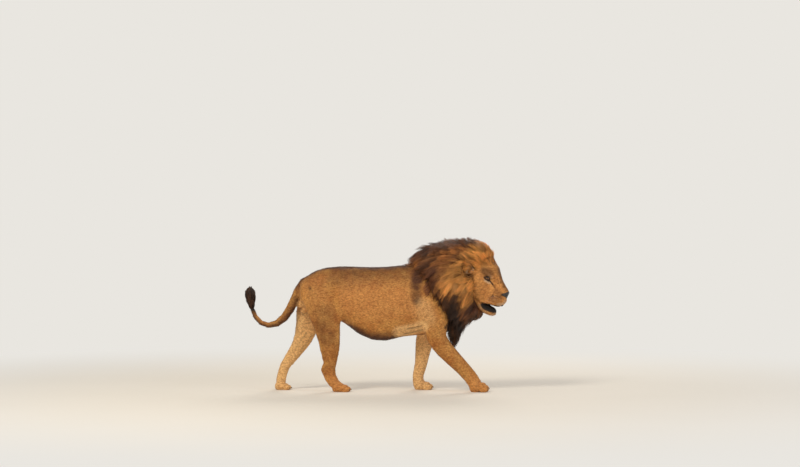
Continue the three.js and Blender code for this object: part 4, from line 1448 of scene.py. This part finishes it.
# %% Pale hair inside the ears
def ear_flow(points):
    outwards = np.sign(to_head(points)[:, 1:2])
    return unit(HEAD[0] * 0.2 + HEAD[1] * outwards * 0.3 + HEAD[2] * 0.7)


weight = near(both_sides(local), [(-146, 150, 0), (-142, 168, 12)], 20, 14) * (local[:, 0] > -166)
made_on = scatter(skin.data, EAR_LOCKS, weight)
many = len(made_on[0])
length, wide, stand = (chance.uniform(low, high, many) for low, high in ((14, 30), (1.4, 2.4), (5, 12)))
mane.append(mane_piece("ear_hair", made_on, mane_bed, length, wide, stand, steps=4, flow=ear_flow,
                       paint=even_marks(0.9, 0), together=12))

# %% [markdown]
# The tail ends in a tuft of coarse dark hair, shaped like an egg, with its hairs along the tail.

# %% The tail tuft
TUFT_GRID, TUFT_DEPTH, TUFT_LOCKS = 5, 13, 2000
tuft_core = voxelled(joined("tuft_core", [merged(["tail_tuft"])]), TUFT_GRID)
relax(tuft_core.data, 20)
swell(tuft_core.data, -TUFT_DEPTH)
relax(tuft_core.data, 6)
unwrap(tuft_core)
TUFT_LINE = [(-1078, 0, 700), (-1094, 0, 820), (-1102, 0, 910)]


def tuft_flow(points):
    heading, _ = along_line(points, TUFT_LINE)
    root, tip = np.array(TUFT_LINE[0]), np.array(TUFT_LINE[-1])
    axis = root + (points[:, 2:] - root[2]) / (tip[2] - root[2]) * (tip - root)
    return unit(heading + unit(axis - points) * (0.75 * soft(840, 900, points[:, 2]))[:, None])


made_on = scatter(tuft_core.data, TUFT_LOCKS)
many = len(made_on[0])
length = 60 * chance.uniform(0.7, 1.15, many) * (1 - 0.35 * soft(820, 880, made_on[0][:, 2]))
wide, stand = chance.uniform(2.4, 4.6, many), chance.uniform(4, 13, many)
tail_tuft = mane_piece("tail_tuft_hair", made_on, bed_of([tuft_core.data]), length, wide, stand,
                       wander=0.07, flow=tuft_flow, paint=even_marks(0, 0.92))

# %% [markdown]
# The eyes. A lion's eye is amber with a round black pupil, wet, and rimmed with bare black skin. The
# ball's pole looks out of the eye, so that one amount, the angle from the gaze, paints every ring of it.

# %% Eyes and the black rims of the lids
CORNEA = 0.9  # how far the clear dome stands out in front of the ball
AHEAD = 0.16  # how much each eye turns from its own axis to look ahead
RIM_HEAVY = (3.0, 2.4)  # half the thickness of the upper rim and of the lower


def eyeball(side):
    middle, axes = eye_place(side), eye_axes(side)
    gaze = unit(axes[0] + AHEAD * HEAD[0])
    back = unit(np.cross(gaze, axes[2]))
    up = np.cross(back, gaze)

    def lay(along, turn):
        radius = EYE_RADIUS + CORNEA * hump(along * math.pi, 0.55)
        return middle + (round_spots(along, turn) * radius[:, None]) @ np.stack([back, up, gaze])

    made = put("eyeball_left" if side > 0 else "eyeball_right", wrapped("eye", 40, 40, lay))
    ray = unit(places(made.data) - middle)
    angle = np.degrees(np.arccos(np.clip(ray @ gaze, -1, 1)))
    keep_marks(made.data, {"gaze": angle / 90})
    made.data.shade_smooth()
    return made


def lid_rims(side):
    middle, axes = eye_place(side), eye_axes(side)
    across = np.linspace(-LID_HALF_WIDTH, LID_HALF_WIDTH, 9)
    parts = []
    for height, heavy in zip(almond_edge(across), RIM_HEAVY):
        ahead = np.sqrt(np.maximum((EYE_RADIUS + CORNEA) ** 2 - across ** 2 - height ** 2, 9))
        line = middle + np.stack([ahead, across, height], 1) @ axes
        size = heavy * (1 - 0.45 * (np.abs(across) / LID_HALF_WIDTH) ** 2)
        parts.append(tube("rim", np.column_stack([line, size, size]), around=10, rows=26))
    return parts


eyes = [eyeball(1), eyeball(-1)]
rims = joined("eyelid_rims", lid_rims(1) + lid_rims(-1))
rims.data.shade_smooth()
print("eyes and lid rims:", len(rims.data.polygons), "faces on the rims")

# %% [markdown]
# The nose is bare black leather, broad on top, drawn in to the groove over the lip, with two nostrils
# that open forward and slit away to the sides. It is a patch of the hide itself, lifted, cut finer
# and given a thickness, so that it fits the muzzle all round. The hide below is pressed in.

# %% Nose leather
NOSE_LIFT, NOSE_SINK = 6.5, 2.5  # the patch stands 4 mm proud, and its rim is 2.5 mm under the hair
NOSE_WALL, NOSE_BED = 2, 9  # how thick the patch is, and how far the hide below it is pressed in
NOSTRILS = [  # pads that press the opening, its slit and the groove between the two
    ([(212, 13, -58), (206, 21, -57)], 7.5, -10),
    ([(206, 22, -57), (197, 33, -54), (186, 39, -56)], 4.0, -5),
    ([(214, 0, -46), (214, 0, -76), (213, 0, -98)], 3, -3),
]


def nose_leather():
    work = bmesh.new()
    work.from_mesh(skin.data)
    amount = nose_form(both_sides(to_head(places(skin.data))))
    work.verts.ensure_lookup_table()
    off_nose = [work.verts[i] for i in np.nonzero(amount < 0.02)[0].tolist()]
    bmesh.ops.delete(work, geom=off_nose, context="VERTS")
    bmesh.ops.subdivide_edges(work, edges=work.edges[:], cuts=2, use_grid_fill=True)
    mesh = bpy.data.meshes.new("nose_leather")
    work.to_mesh(mesh)
    work.free()
    relax(mesh, 5)
    one = both_sides(to_head(places(mesh)))
    amount = nose_form(one) * (0.4 + 0.6 * soft(172, 200, one[:, 0]))  # it lies flat along the slit
    swell(mesh, NOSE_LIFT * amount - NOSE_SINK)
    relax(mesh, 3)
    sculpt(mesh, NOSTRILS, to_head)
    relax(mesh, 2)
    made = put("nose_leather", mesh)
    wall = made.modifiers.new("wall", "SOLIDIFY")
    wall.thickness, wall.offset = NOSE_WALL * MM, -1
    return finished(made)


nose = nose_leather()
swell(skin.data, -NOSE_BED * soft(0.5, 1.0, nose_form(both_sides(to_head(places(skin.data))))))
unwrap(nose)
print("nose:", len(nose.data.vertices), "points")

# %% [markdown]
# Whiskers stand in rows on the pads of the upper lip, stiff and pale, and curve back towards the tips.

# %% Whiskers
WHISKER_ROWS, WHISKERS_EACH, WHISKER_BENDS = 4, 3, 6
WHISKER_WIDTH = 0.6


def whiskers():
    starts, ways, lengths = [], [], []
    for side in (1, -1):
        for row in range(WHISKER_ROWS):
            for k in range(WHISKERS_EACH):
                starts.append(from_head((160 - 19 * k, side * (60 + 2 * k), -98 - 14 * row)))
                ways.append(unit(np.array([-0.35 - 0.18 * k, side, 0.10 - 0.22 * row])) @ HEAD)
                lengths.append(chance.uniform(70, 120))
    starts, ways, lengths = np.array(starts), np.array(ways), np.array(lengths)
    path = [starts]
    for _ in range(WHISKER_BENDS):  # each stretch turns a little back, and droops
        ways = unit(ways + HEAD[0] * -0.07 + np.array([0, 0, -0.05]))
        path.append(path[-1] + ways * (lengths / WHISKER_BENDS)[:, None])
    path = np.stack(path, 1)
    across = unit(np.cross(unit(np.gradient(path, axis=1)), np.array([0.1, 0.2, 1.0])))
    wide = np.full(len(starts), WHISKER_WIDTH)
    return locks("whiskers", path, across, wide, wide * 0.9, {"shade": chance.random(len(starts))},
                 np.zeros((len(starts), 2)) + 0.5)


whisker_hair = whiskers()
# %% [markdown]
# Colours are written as they look on a screen, in sRGB hex, and one function turns them into the
# light amounts that Blender mixes. All nodes are added by one helper, and the few groups of nodes that
# come back in every finish have a short function each.

# %% Colours and nodes
def light(code):
    parts = [int(code[k:k + 2], 16) / 255 for k in (1, 3, 5)]
    return tuple(c / 12.92 if c <= 0.04045 else ((c + 0.055) / 1.055) ** 2.4 for c in parts) + (1.0,)


# umber and black carry painted shade as well as dark hair and bare skin, and sand and gold some painted
# light
COAT_COLOURS = {  # laid in this order
    "gold": "#dc9a56", "umber": "#5f371c", "sand": "#fbca88", "cream": "#dfc6a4", "black": "#140d0a",
}
# gold also carries painted light on the crest and by the ear, and black the painted shade of a parting
MANE_COLOURS = {"gold": "#cf9049", "umber": "#5c331a", "black": "#2b180d"}


def add(tree, kind, inputs=None, **settings):
    """Adds a node, sets it, and fills its inputs with numbers, colours or links."""
    made = tree.nodes.new("ShaderNode" + kind)
    for name, value in settings.items():
        setattr(made, name, value)
    for key, value in (inputs or {}).items():
        if isinstance(value, bpy.types.NodeSocket):
            tree.links.new(value, made.inputs[key])
        else:
            made.inputs[key].default_value = value
    return made


def new_material(name, numbers):
    """A material whose one shader has these numbers, and its tree, shader and place on the piece."""
    made = bpy.data.materials.new(name)
    made.use_nodes = True
    tree = made.node_tree
    shader = tree.nodes["Principled BSDF"]
    for socket, number in numbers.items():
        shader.inputs[socket].default_value = number
    return made, tree, shader, add(tree, "TexCoord").outputs["Object"]


def grain(tree, spot, scale, detail, stretch=None, turn=(0, 0, 0), roughness=0.5):
    """A noise of scale specks to the metre. A stretch below 1 draws them out along that axis."""
    if stretch:
        spot = add(tree, "Mapping", {"Vector": spot, "Rotation": turn, "Scale": stretch}).outputs[0]
    inputs = {"Vector": spot, "Scale": scale, "Detail": detail, "Roughness": roughness}
    return add(tree, "TexNoise", inputs).outputs["Fac"]


def amount_of(tree, name):
    return add(tree, "Attribute", attribute_name=name).outputs["Fac"]


def blend(tree, amount, low, high, **settings):
    return add(tree, "Mix", {0: amount, 6: low, 7: high}, data_type="RGBA", **settings).outputs[2]


def two_tones(tree, value, low, high):
    """A ramp between two colours, each given with the value that it starts from."""
    ramp = add(tree, "ValToRGB", {"Fac": value})
    for stop, (place, colour) in zip(ramp.color_ramp.elements, (low, high)):
        stop.position, stop.color = place, light(colour)
    return ramp.outputs["Color"]


def spread(tree, value, low, high, start=0.0, end=1.0):
    return add(tree, "MapRange", {"Value": value, 1: start, 2: end, 3: low, 4: high}).outputs[0]


def scaled(tree, colour, amount):
    return add(tree, "VectorMath", {0: colour, "Scale": amount}, operation="SCALE").outputs[0]


def shaded(tree, colour, shade, tip):
    """A lock's own shade, dark to light, and the shade from its root to its tip."""
    own, along = spread(tree, amount_of(tree, "shade"), *shade), spread(tree, amount_of(tree, "tip"), *tip)
    return scaled(tree, colour, add(tree, "Math", {0: own, 1: along}, operation="MULTIPLY").outputs[0])


def bumped(tree, shader, height, strength, depth):
    bump = add(tree, "Bump", {"Height": height, "Strength": strength, "Distance": depth * MM})
    tree.links.new(bump.outputs[0], shader.inputs["Normal"])


def paint(tree, colours, start):
    """Lays colours over a start, each by the amount of the marking of its name."""
    for name, code in colours.items():
        start = blend(tree, amount_of(tree, name), start, light(code))
    return start


# %% [markdown]
# Hide and short coat. Both are keratin and skin: dull, a little silky, never wet. Patches about ten
# centimetres wide drift between two tawny shades. Tufts lie over one another in flecks, and single
# hairs in streaks; both are drawn coarser than life, 12 mm and 5 mm wide, which is as fine as shows.

# %% Hide and short coat
def hair_colour(tree, spot):
    """Two tawny shades in drifts, the markings and painted shade and light over them, and darker flecks."""
    drift = grain(tree, spot, 9.0, 4.0, roughness=0.6)
    tawny = two_tones(tree, drift, (0.35, "#cb833d"), (0.65, "#ebae5d"))
    flecks = grain(tree, spot, 80.0, 4.0, stretch=(0.6, 0.8, 1.0), turn=(0, 0.35, 0), roughness=0.75)
    dots = two_tones(tree, flecks, (0.38, "#94674a"), (0.58, "#ffffff"))
    return blend(tree, 0.58, paint(tree, COAT_COLOURS, tawny), dots, blend_type="MULTIPLY")


def hide_material():
    """Skin under hair: the same colours, streaked, and rough enough to give no highlight."""
    numbers = {"Roughness": 0.72, "Specular IOR Level": 0.3}
    made, tree, shader, spot = new_material("hide_under_short_hair", numbers)
    streak = grain(tree, spot, 200.0, 3.0, stretch=(0.25, 1.0, 0.8))
    colour = scaled(tree, hair_colour(tree, spot), spread(tree, streak, 0.72, 1.12, start=0.3, end=0.7))
    tree.links.new(colour, shader.inputs["Base Color"])
    bumped(tree, shader, streak, 0.5, depth=3)
    return made


def coat_material():
    """Short hair: a soft sheen along the edges, and tips paler than roots."""
    numbers = {"Roughness": 0.62, "Specular IOR Level": 0.35, "Sheen Weight": 0.12}
    made, tree, shader, spot = new_material("short_tawny_hair", numbers)
    colour = shaded(tree, hair_colour(tree, spot), (0.74, 1.3), (0.86, 1.14))
    tree.links.new(colour, shader.inputs["Base Color"])
    return made


# %% [markdown]
# Mane hair is coarser and glossier than the coat. Roots lie in the shade of the hair above, so they
# are drawn darker, and each lock differs a little from the next, as clumps of real hair do. Under the
# locks lies the core, painted nearly black as the shade in the depth of the mane, dull and streaked.

# %% Mane hair
def mane_colour(tree, spot):
    drift = grain(tree, spot, 14.0, 3.0)  # patches of seven centimetres
    return paint(tree, MANE_COLOURS, blend(tree, drift, light("#80481c"), light("#b3743b")))


def mane_material():
    """Long coarse hair: glossy enough to catch the key lamp on each lock."""
    numbers = {"Roughness": 0.48, "Specular IOR Level": 0.4}
    made, tree, shader, spot = new_material("coarse_mane_hair", numbers)
    colour = shaded(tree, mane_colour(tree, spot), (0.42, 1.66), (0.55, 1.2))
    tree.links.new(colour, shader.inputs["Base Color"])
    return made


def mane_shade_material():
    """Painted shade in the depth of the mane and the tail tuft: nearly black, with 7 mm streaks for locks in
    shade.
    """
    numbers = {"Roughness": 0.8, "Specular IOR Level": 0.4}
    made, tree, shader, spot = new_material("painted_shade_in_mane", numbers)
    streak = grain(tree, spot, 150.0, 3.0, stretch=(0.3, 1.0, 0.6))
    # painted shade: the mane's colours at 0.3 for the depth under the locks
    dark = scaled(tree, mane_colour(tree, spot), 0.3)
    tree.links.new(scaled(tree, dark, spread(tree, streak, 0.6, 1.4)), shader.inputs["Base Color"])
    bumped(tree, shader, streak, 0.6, depth=6)
    return made


keep_marks(core.data, mane_marks(places(core.data)))
keep_marks(tuft_core.data, even_marks(0, 1)(places(tuft_core.data)))

# %% [markdown]
# Small hard and wet parts: the eye under its clear cornea, black leather on the nose and lid rims,
# horn for the claws, and pale whisker hair. The eye's colours are rings, from pupil to iris to the
# black rim of the lids, and are set by the angle from the gaze.

# %% Eye, nose leather, horn and whiskers
EYE_RINGS = [  # the angle from the gaze, as a share of a right angle, and the colour from there on
    (0.165, "#050302"), (0.185, "#85531a"), (0.36, "#9a6423"), (0.43, "#4a2a10"), (0.47, "#1a100a"),
    (0.60, "#3a2a20"),
]


def eye_material():
    """A wet eye: amber fibres under a clear polished coat that keeps one small highlight."""
    numbers = {"Roughness": 0.12, "Coat Weight": 0.35, "Coat Roughness": 0.03}
    made, tree, shader, spot = new_material("wet_amber_eye", numbers)
    ramp = add(tree, "ValToRGB", {"Fac": amount_of(tree, "gaze")})
    stops = ramp.color_ramp.elements
    stops[0].position, stops[0].color = 0.0, light("#050302")
    stops[1].position, stops[1].color = 1.0, light("#2a1b12")
    for place, code in EYE_RINGS:
        stops.new(place).color = light(code)
    fibre = spread(tree, grain(tree, spot, 900.0, 2.0), 0.8, 1.2)  # about a millimetre wide
    tree.links.new(scaled(tree, ramp.outputs["Color"], fibre), shader.inputs["Base Color"])
    return made


def leather_material():
    """Black nose skin: cells a few millimetres wide, damp enough to shine softly."""
    made, tree, shader, spot = new_material("black_nose_leather", {"Roughness": 0.38})
    cells = add(tree, "TexVoronoi", {"Vector": spot, "Scale": 420.0}).outputs["Distance"]
    colour = blend(tree, grain(tree, spot, 60.0, 3.0), light("#0e0a09"), light("#2b2220"))
    tree.links.new(colour, shader.inputs["Base Color"])
    bumped(tree, shader, cells, 0.35, depth=1)
    return made


def horn_material():
    """Claw horn: brown at the root, with paler bands 8 mm long, and polished by the ground."""
    made, tree, shader, spot = new_material("polished_claw_horn", {"Roughness": 0.35})
    band = grain(tree, spot, 120.0, 2.0, stretch=(1.0, 6.0, 6.0))
    tree.links.new(blend(tree, band, light("#2e2019"), light("#8a705a")), shader.inputs["Base Color"])
    return made


def whisker_material():
    """Stiff whisker hair: nearly white, a little darker to the tip, smooth enough to glint."""
    made, tree, shader, _ = new_material("pale_whisker_hair", {"Roughness": 0.4})
    colour = blend(tree, amount_of(tree, "tip"), light("#efe6d6"), light("#cdbfa8"))
    tree.links.new(colour, shader.inputs["Base Color"])
    return made


HIDE, COAT, MANE_HAIR, MANE_SHADE = hide_material(), coat_material(), mane_material(), mane_shade_material()
EYE, LEATHER, HORN, WHISKER = eye_material(), leather_material(), horn_material(), whisker_material()
print(len(bpy.data.materials), "materials")

# %% [markdown]
# Every piece is told what it is made of and that it rides on the lion's root, and the carved solids
# that it stands for are hidden. The claws stay as they were carved.

# %% Give each piece its finish, and hide the CAD nodes that it stands for
FLESH = BODY_FLESH + ["head", "ear_left", "ear_right"]
dressed = [(skin, HIDE, "coat", FLESH)]
dressed += [(piece, COAT, "coat", []) for piece in coat]
# the core carries the painted shade in the depth of the mane
dressed += [(core, MANE_SHADE, "dark_mane", ["mane", "chest_mane"])]
dressed += [(piece, MANE_HAIR, "mane", []) for piece in mane]
dressed += [(tuft_core, MANE_SHADE, "tuft", ["tail_tuft"]), (tail_tuft, MANE_HAIR, "tuft", [])]
dressed += [(eyes[0], EYE, "eye", ["eye_left"]), (eyes[1], EYE, "eye", ["eye_right"])]
dressed += [(rims, LEATHER, "nose", []), (nose, LEATHER, "nose", ["nose"])]
dressed += [(whisker_hair, WHISKER, "pale_coat", [])]
for piece, material, slot, stands_for in dressed:
    piece.data.materials.clear()
    piece.data.materials.append(material)
    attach(piece, "root")
    if stands_for:
        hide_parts(*stands_for)
for name, node in nodes.items():
    if "claw" in name:
        node.data.materials.clear()
        node.data.materials.append(HORN)
print(len(dressed), "pieces dressed")

# %% [markdown]
# The camera stands at the height of a standing person's eyes, twenty metres off with a long lens,
# level with the lion's flank.

# %% Camera
CAMERA_AWAY = 20.0
CAMERA_HEIGHT = 1.60
VIEW_WIDTH = 6.904  # metres across the view at the lion
SENSOR = 36  # millimetres, the width of a full-frame sensor
AIM = Vector((0.197, 0, 1.357))


def towards(place, aim):
    """The rotation of a camera or lamp at a place that looks at aim."""
    return (aim - place).to_track_quat("-Z", "Y").to_euler()


eye_point = Vector((AIM.x, -CAMERA_AWAY, CAMERA_HEIGHT))
camera_data = bpy.data.cameras.new("camera")
camera_data.sensor_width = SENSOR
camera_data.lens = SENSOR * (AIM - eye_point).length / VIEW_WIDTH
camera_data.clip_end = 500
camera = bpy.data.objects.new("camera", camera_data)
camera.location, camera.rotation_euler = eye_point, towards(eye_point, AIM)
bpy.context.scene.collection.objects.link(camera)
bpy.context.scene.camera = camera
print("lens", round(camera_data.lens, 1), "mm")

# %% [markdown]
# The studio floor is a pale disc. Near the lion it is a dull solid that takes its shadow, and further
# out it fades into a glow of the surround's colour, so that no edge of the floor is seen.

# %% Floor
BACKDROP = light("#e9e6e0")
FLOOR_RADIUS, FADE_FROM, FADE_TO = 60, 1.6, 6.5  # metres
work = bmesh.new()
bmesh.ops.create_circle(work, cap_ends=True, segments=96, radius=FLOOR_RADIUS)
floor_mesh = bpy.data.meshes.new("floor")
work.to_mesh(floor_mesh)
work.free()
floor = put("floor", floor_mesh)
made, tree, shader, spot = new_material("pale_studio_floor", {"Roughness": 0.9})
tone = blend(tree, grain(tree, spot, 0.8, 2.0), light("#e4e1da"), BACKDROP)
tree.links.new(tone, shader.inputs["Base Color"])
far = add(tree, "VectorMath", {0: spot}, operation="LENGTH").outputs["Value"]
fade = add(tree, "MapRange", {"Value": far, 1: FADE_FROM, 2: FADE_TO}, interpolation_type="SMOOTHSTEP")
glow = add(tree, "Emission", {"Color": BACKDROP, "Strength": 1.0})
mixed = add(tree, "MixShader", {0: fade.outputs[0], 1: shader.outputs[0], 2: glow.outputs[0]})
tree.links.new(mixed.outputs[0], tree.nodes["Material Output"].inputs["Surface"])
floor.data.materials.append(made)
print("floor", 2 * FLOOR_RADIUS, "m across")

# %% [markdown]
# The surround lights the lion softly from all sides. Where it is seen itself, straight or in a
# reflection, it has the floor's own pale colour instead.

# %% Surround
world = bpy.data.worlds.new("studio")
bpy.context.scene.world = world
world.use_nodes = True
tree = world.node_tree
lit = tree.nodes["Background"]
lit.inputs["Color"].default_value = light("#fff8ee")
lit.inputs["Strength"].default_value = 0.42
shown = add(tree, "Background", {"Color": BACKDROP, "Strength": 1.0})
path = add(tree, "LightPath").outputs
seen = path["Is Camera Ray"]
for other in ("Is Glossy Ray", "Is Transmission Ray"):
    seen = add(tree, "Math", {0: seen, 1: path[other]}, operation="MAXIMUM").outputs[0]
mixed = add(tree, "MixShader", {0: seen, 1: lit.outputs[0], 2: shown.outputs[0]})
tree.links.new(mixed.outputs[0], tree.nodes["World Output"].inputs["Surface"])

# %% [markdown]
# Three broad lamps: a warm key, high on the near side and towards the tail, a weak cool fill ahead of
# the lion, and a rim lamp on the far side that lights the edge of the mane.

# %% Lamps
LAMPS = [  # name, place, size in metres, watts, colour
    ("key", (-4.0, -6.0, 7.0), 3.0, 450, "#fff4e2"),
    ("fill", (6.5, -5.0, 3.0), 5.0, 130, "#f6f7ff"),
    ("rim", (2.0, 6.5, 5.5), 4.0, 240, "#fff6ea"),
]
LION_MIDDLE = Vector((0, 0, 0.7))
for name, place, size, watts, code in LAMPS:
    lamp = bpy.data.lights.new(name, "AREA")
    lamp.shape, lamp.size, lamp.energy, lamp.color = "DISK", size, watts, light(code)[:3]
    made = bpy.data.objects.new(name, lamp)
    made.location, made.rotation_euler = place, towards(Vector(place), LION_MIDDLE)
    bpy.context.scene.collection.objects.link(made)
bpy.context.scene.view_settings.view_transform = "Standard"
print(len(LAMPS), "lamps,", sum(lamp[3] for lamp in LAMPS), "watts")
